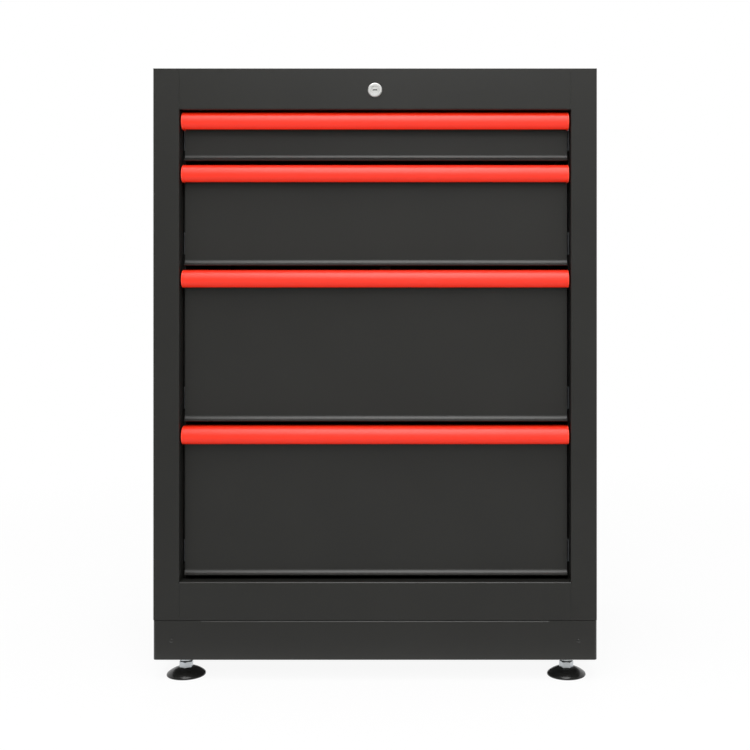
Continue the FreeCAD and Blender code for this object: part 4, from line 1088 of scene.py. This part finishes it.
class CABINET_OT_stage(bpy.types.Operator):
    """Set the floor, the backdrop, the lights and the camera"""

    bl_idname = "cabinet.stage"
    bl_label = "Stage"

    def execute(self, context):
        studio = context.scene.cabinet_studio
        scene = context.scene
        deselect()
        bpy.ops.mesh.primitive_plane_add(size=12, location=(0, 0, 0))
        floor = context.object
        floor.name = "floor"
        floor.data.materials.append(white_floor())
        world = bpy.data.worlds.new("white_studio")
        scene.world = world
        light_world(world, studio.surround)
        area_light("overhead_light", (-0.02, -0.66, 2.9), (-0.02, -0.66, 0), (1.7, 3.0), studio.overhead)
        area_light("canopy_light", (-0.02, -2.9, 2.62), (-0.02, -1.87, 0), (1.7, 1.5), studio.canopy)
        fill = area_light("fill_light", (0.6, -3.6, 1.5), (0, 0, 0.5), (3.0, 2.4), studio.fill)
        fill.visible_glossy = False
        eye = (studio.side, FRONT_Y - studio.distance, studio.height)
        bpy.ops.object.camera_add(location=eye, rotation=(math.radians(90), 0, 0))
        camera = context.object
        camera.name = "camera"
        camera.data.lens = studio.lens
        camera.data.sensor_width = 36
        # the width of the view at the front plane, in which the photograph centres the cabinet
        width = studio.distance * 36 / studio.lens
        camera.data.shift_x = -studio.side / width
        camera.data.shift_y = (0.4683 - studio.height) / width
        scene.camera = camera
        scene.view_settings.view_transform = "Standard"
        return {"FINISHED"}


def area_light(name, at, towards, size, watts):
    bpy.ops.object.light_add(type="AREA", location=at)
    lamp = bpy.context.object
    lamp.name = name
    lamp.data.shape = "RECTANGLE"
    lamp.data.size, lamp.data.size_y = size
    lamp.data.energy = watts
    lamp.rotation_euler = (Vector(towards) - Vector(at)).to_track_quat("-Z", "Y").to_euler()
    return lamp


def white_floor():
    """A seamless white floor: white to the camera and in reflections, and it keeps the shadow."""
    material, tree, place = start_material("white_studio_floor")
    fine = add(tree, "ShaderNodeTexNoise", {"Vector": place, "Scale": per_metre(4), "Detail": 2.0})
    paper = add(tree, "ShaderNodeMix", {
        "Factor": fine.outputs[0], 6: (0.78, 0.78, 0.78, 1), 7: (0.8, 0.8, 0.8, 1)}, data_type="RGBA")
    matt = add(tree, "ShaderNodeBsdfDiffuse", {"Color": paper.outputs[2]})
    seen = add(tree, "ShaderNodeLightPath")
    # in reflections the floor in front of the cabinet is dimmer, as the room over it is
    way = add(tree, "ShaderNodeSeparateXYZ", {0: place})
    room = add(tree, "ShaderNodeMapRange", {
        "Value": way.outputs["Y"], "From Min": -0.38, "From Max": -0.27, "To Min": 0.25, "To Max": 1.0},
        interpolation_type="SMOOTHSTEP")
    bright = add(tree, "ShaderNodeMath", {
        0: seen.outputs["Is Camera Ray"], 1: room.outputs[0]}, operation="MAXIMUM")
    glow = add(tree, "ShaderNodeEmission", {"Color": (1, 1, 1, 1), "Strength": bright.outputs[0]})
    either = add(tree, "ShaderNodeMath", {
        0: seen.outputs["Is Camera Ray"], 1: seen.outputs["Is Glossy Ray"]}, operation="MAXIMUM")
    either = add(tree, "ShaderNodeMath", {
        0: either.outputs[0], 1: seen.outputs["Is Transmission Ray"]}, operation="MAXIMUM")
    # the shadow shows near the cabinet and the floor runs out to pure white
    far = add(tree, "ShaderNodeVectorMath", {0: place}, operation="LENGTH")
    white = add(tree, "ShaderNodeMapRange", {
        "Value": far.outputs["Value"], "From Min": 0.5, "From Max": 2.2, "To Min": 0.92, "To Max": 1.0},
        interpolation_type="SMOOTHSTEP")
    share = add(tree, "ShaderNodeMath", {0: either.outputs[0], 1: white.outputs[0]}, operation="MULTIPLY")
    mix = add(tree, "ShaderNodeMixShader", {0: share.outputs[0], 1: matt.outputs[0], 2: glow.outputs[0]})
    add(tree, "ShaderNodeOutputMaterial", {"Surface": mix.outputs[0]})
    return material


def light_world(world, surround):
    """White behind the object, and a dimmer even light on it from all round."""
    world.use_nodes = True
    tree = world.node_tree
    tree.nodes.clear()
    seen = add(tree, "ShaderNodeLightPath")
    even = add(tree, "ShaderNodeBackground", {"Color": (1, 1, 1, 1), "Strength": surround})
    # in reflections the room in front of the cabinet is dimmer than the white behind it
    way = add(tree, "ShaderNodeSeparateXYZ", {0: add(tree, "ShaderNodeTexCoord").outputs["Generated"]})
    room = add(tree, "ShaderNodeMapRange", {
        "Value": way.outputs["Y"], "From Min": -0.5, "From Max": 0.2, "To Min": 0.15, "To Max": 1.0},
        interpolation_type="SMOOTHSTEP")
    mirrored = add(tree, "ShaderNodeBackground", {"Color": (1, 1, 1, 1), "Strength": room.outputs[0]})
    white = add(tree, "ShaderNodeBackground", {"Color": (1, 1, 1, 1), "Strength": 1.0})
    either = add(tree, "ShaderNodeMath", {
        0: seen.outputs["Is Glossy Ray"], 1: seen.outputs["Is Transmission Ray"]}, operation="MAXIMUM")
    mix = add(tree, "ShaderNodeMixShader", {
        0: either.outputs[0], 1: even.outputs[0], 2: mirrored.outputs[0]})
    mix = add(tree, "ShaderNodeMixShader", {
        0: seen.outputs["Is Camera Ray"], 1: mix.outputs[0], 2: white.outputs[0]})
    add(tree, "ShaderNodeOutputWorld", {"Surface": mix.outputs[0]})


class CABINET_PT_pieces(bpy.types.Panel):
    """Sizes, colours and pieces of the cabinet"""

    bl_idname = "CABINET_PT_pieces"
    bl_label = "Drawer Cabinet"
    bl_space_type = "VIEW_3D"
    bl_region_type = "UI"
    bl_category = "Cabinet"

    def draw(self, context):
        layout = self.layout
        for step in STEPS:
            layout.operator(step.bl_idname)
        for group in (context.scene.cabinet_sizes, context.scene.cabinet_finishes,
                      context.scene.cabinet_studio):
            column = layout.column(align=True)
            for key in group.__annotations__:
                column.prop(group, key)


STEPS = (
    CABINET_OT_finishes, CABINET_OT_steelwork, CABINET_OT_plated_hardware, CABINET_OT_pulls,
    CABINET_OT_pull_caps, CABINET_OT_drawer_panels, CABINET_OT_lock, CABINET_OT_foot_pads,
    CABINET_OT_foot_studs, CABINET_OT_foot_nuts, CABINET_OT_rivets, CABINET_OT_back_screws,
    CABINET_OT_stage,
)
CLASSES = (CabinetSizes, CabinetFinishes, CabinetStudio) + STEPS + (CABINET_PT_pieces,)


def register():
    for cls in CLASSES:
        bpy.utils.register_class(cls)
    bpy.types.Scene.cabinet_sizes = PointerProperty(type=CabinetSizes)
    bpy.types.Scene.cabinet_finishes = PointerProperty(type=CabinetFinishes)
    bpy.types.Scene.cabinet_studio = PointerProperty(type=CabinetStudio)


def unregister():
    del bpy.types.Scene.cabinet_studio
    del bpy.types.Scene.cabinet_finishes
    del bpy.types.Scene.cabinet_sizes
    for cls in reversed(CLASSES):
        bpy.utils.unregister_class(cls)


def main():
    register()
    for step in STEPS:
        group, name = step.bl_idname.split(".")
        getattr(getattr(bpy.ops, group), name)()


if __name__ == "__main__":
    main()
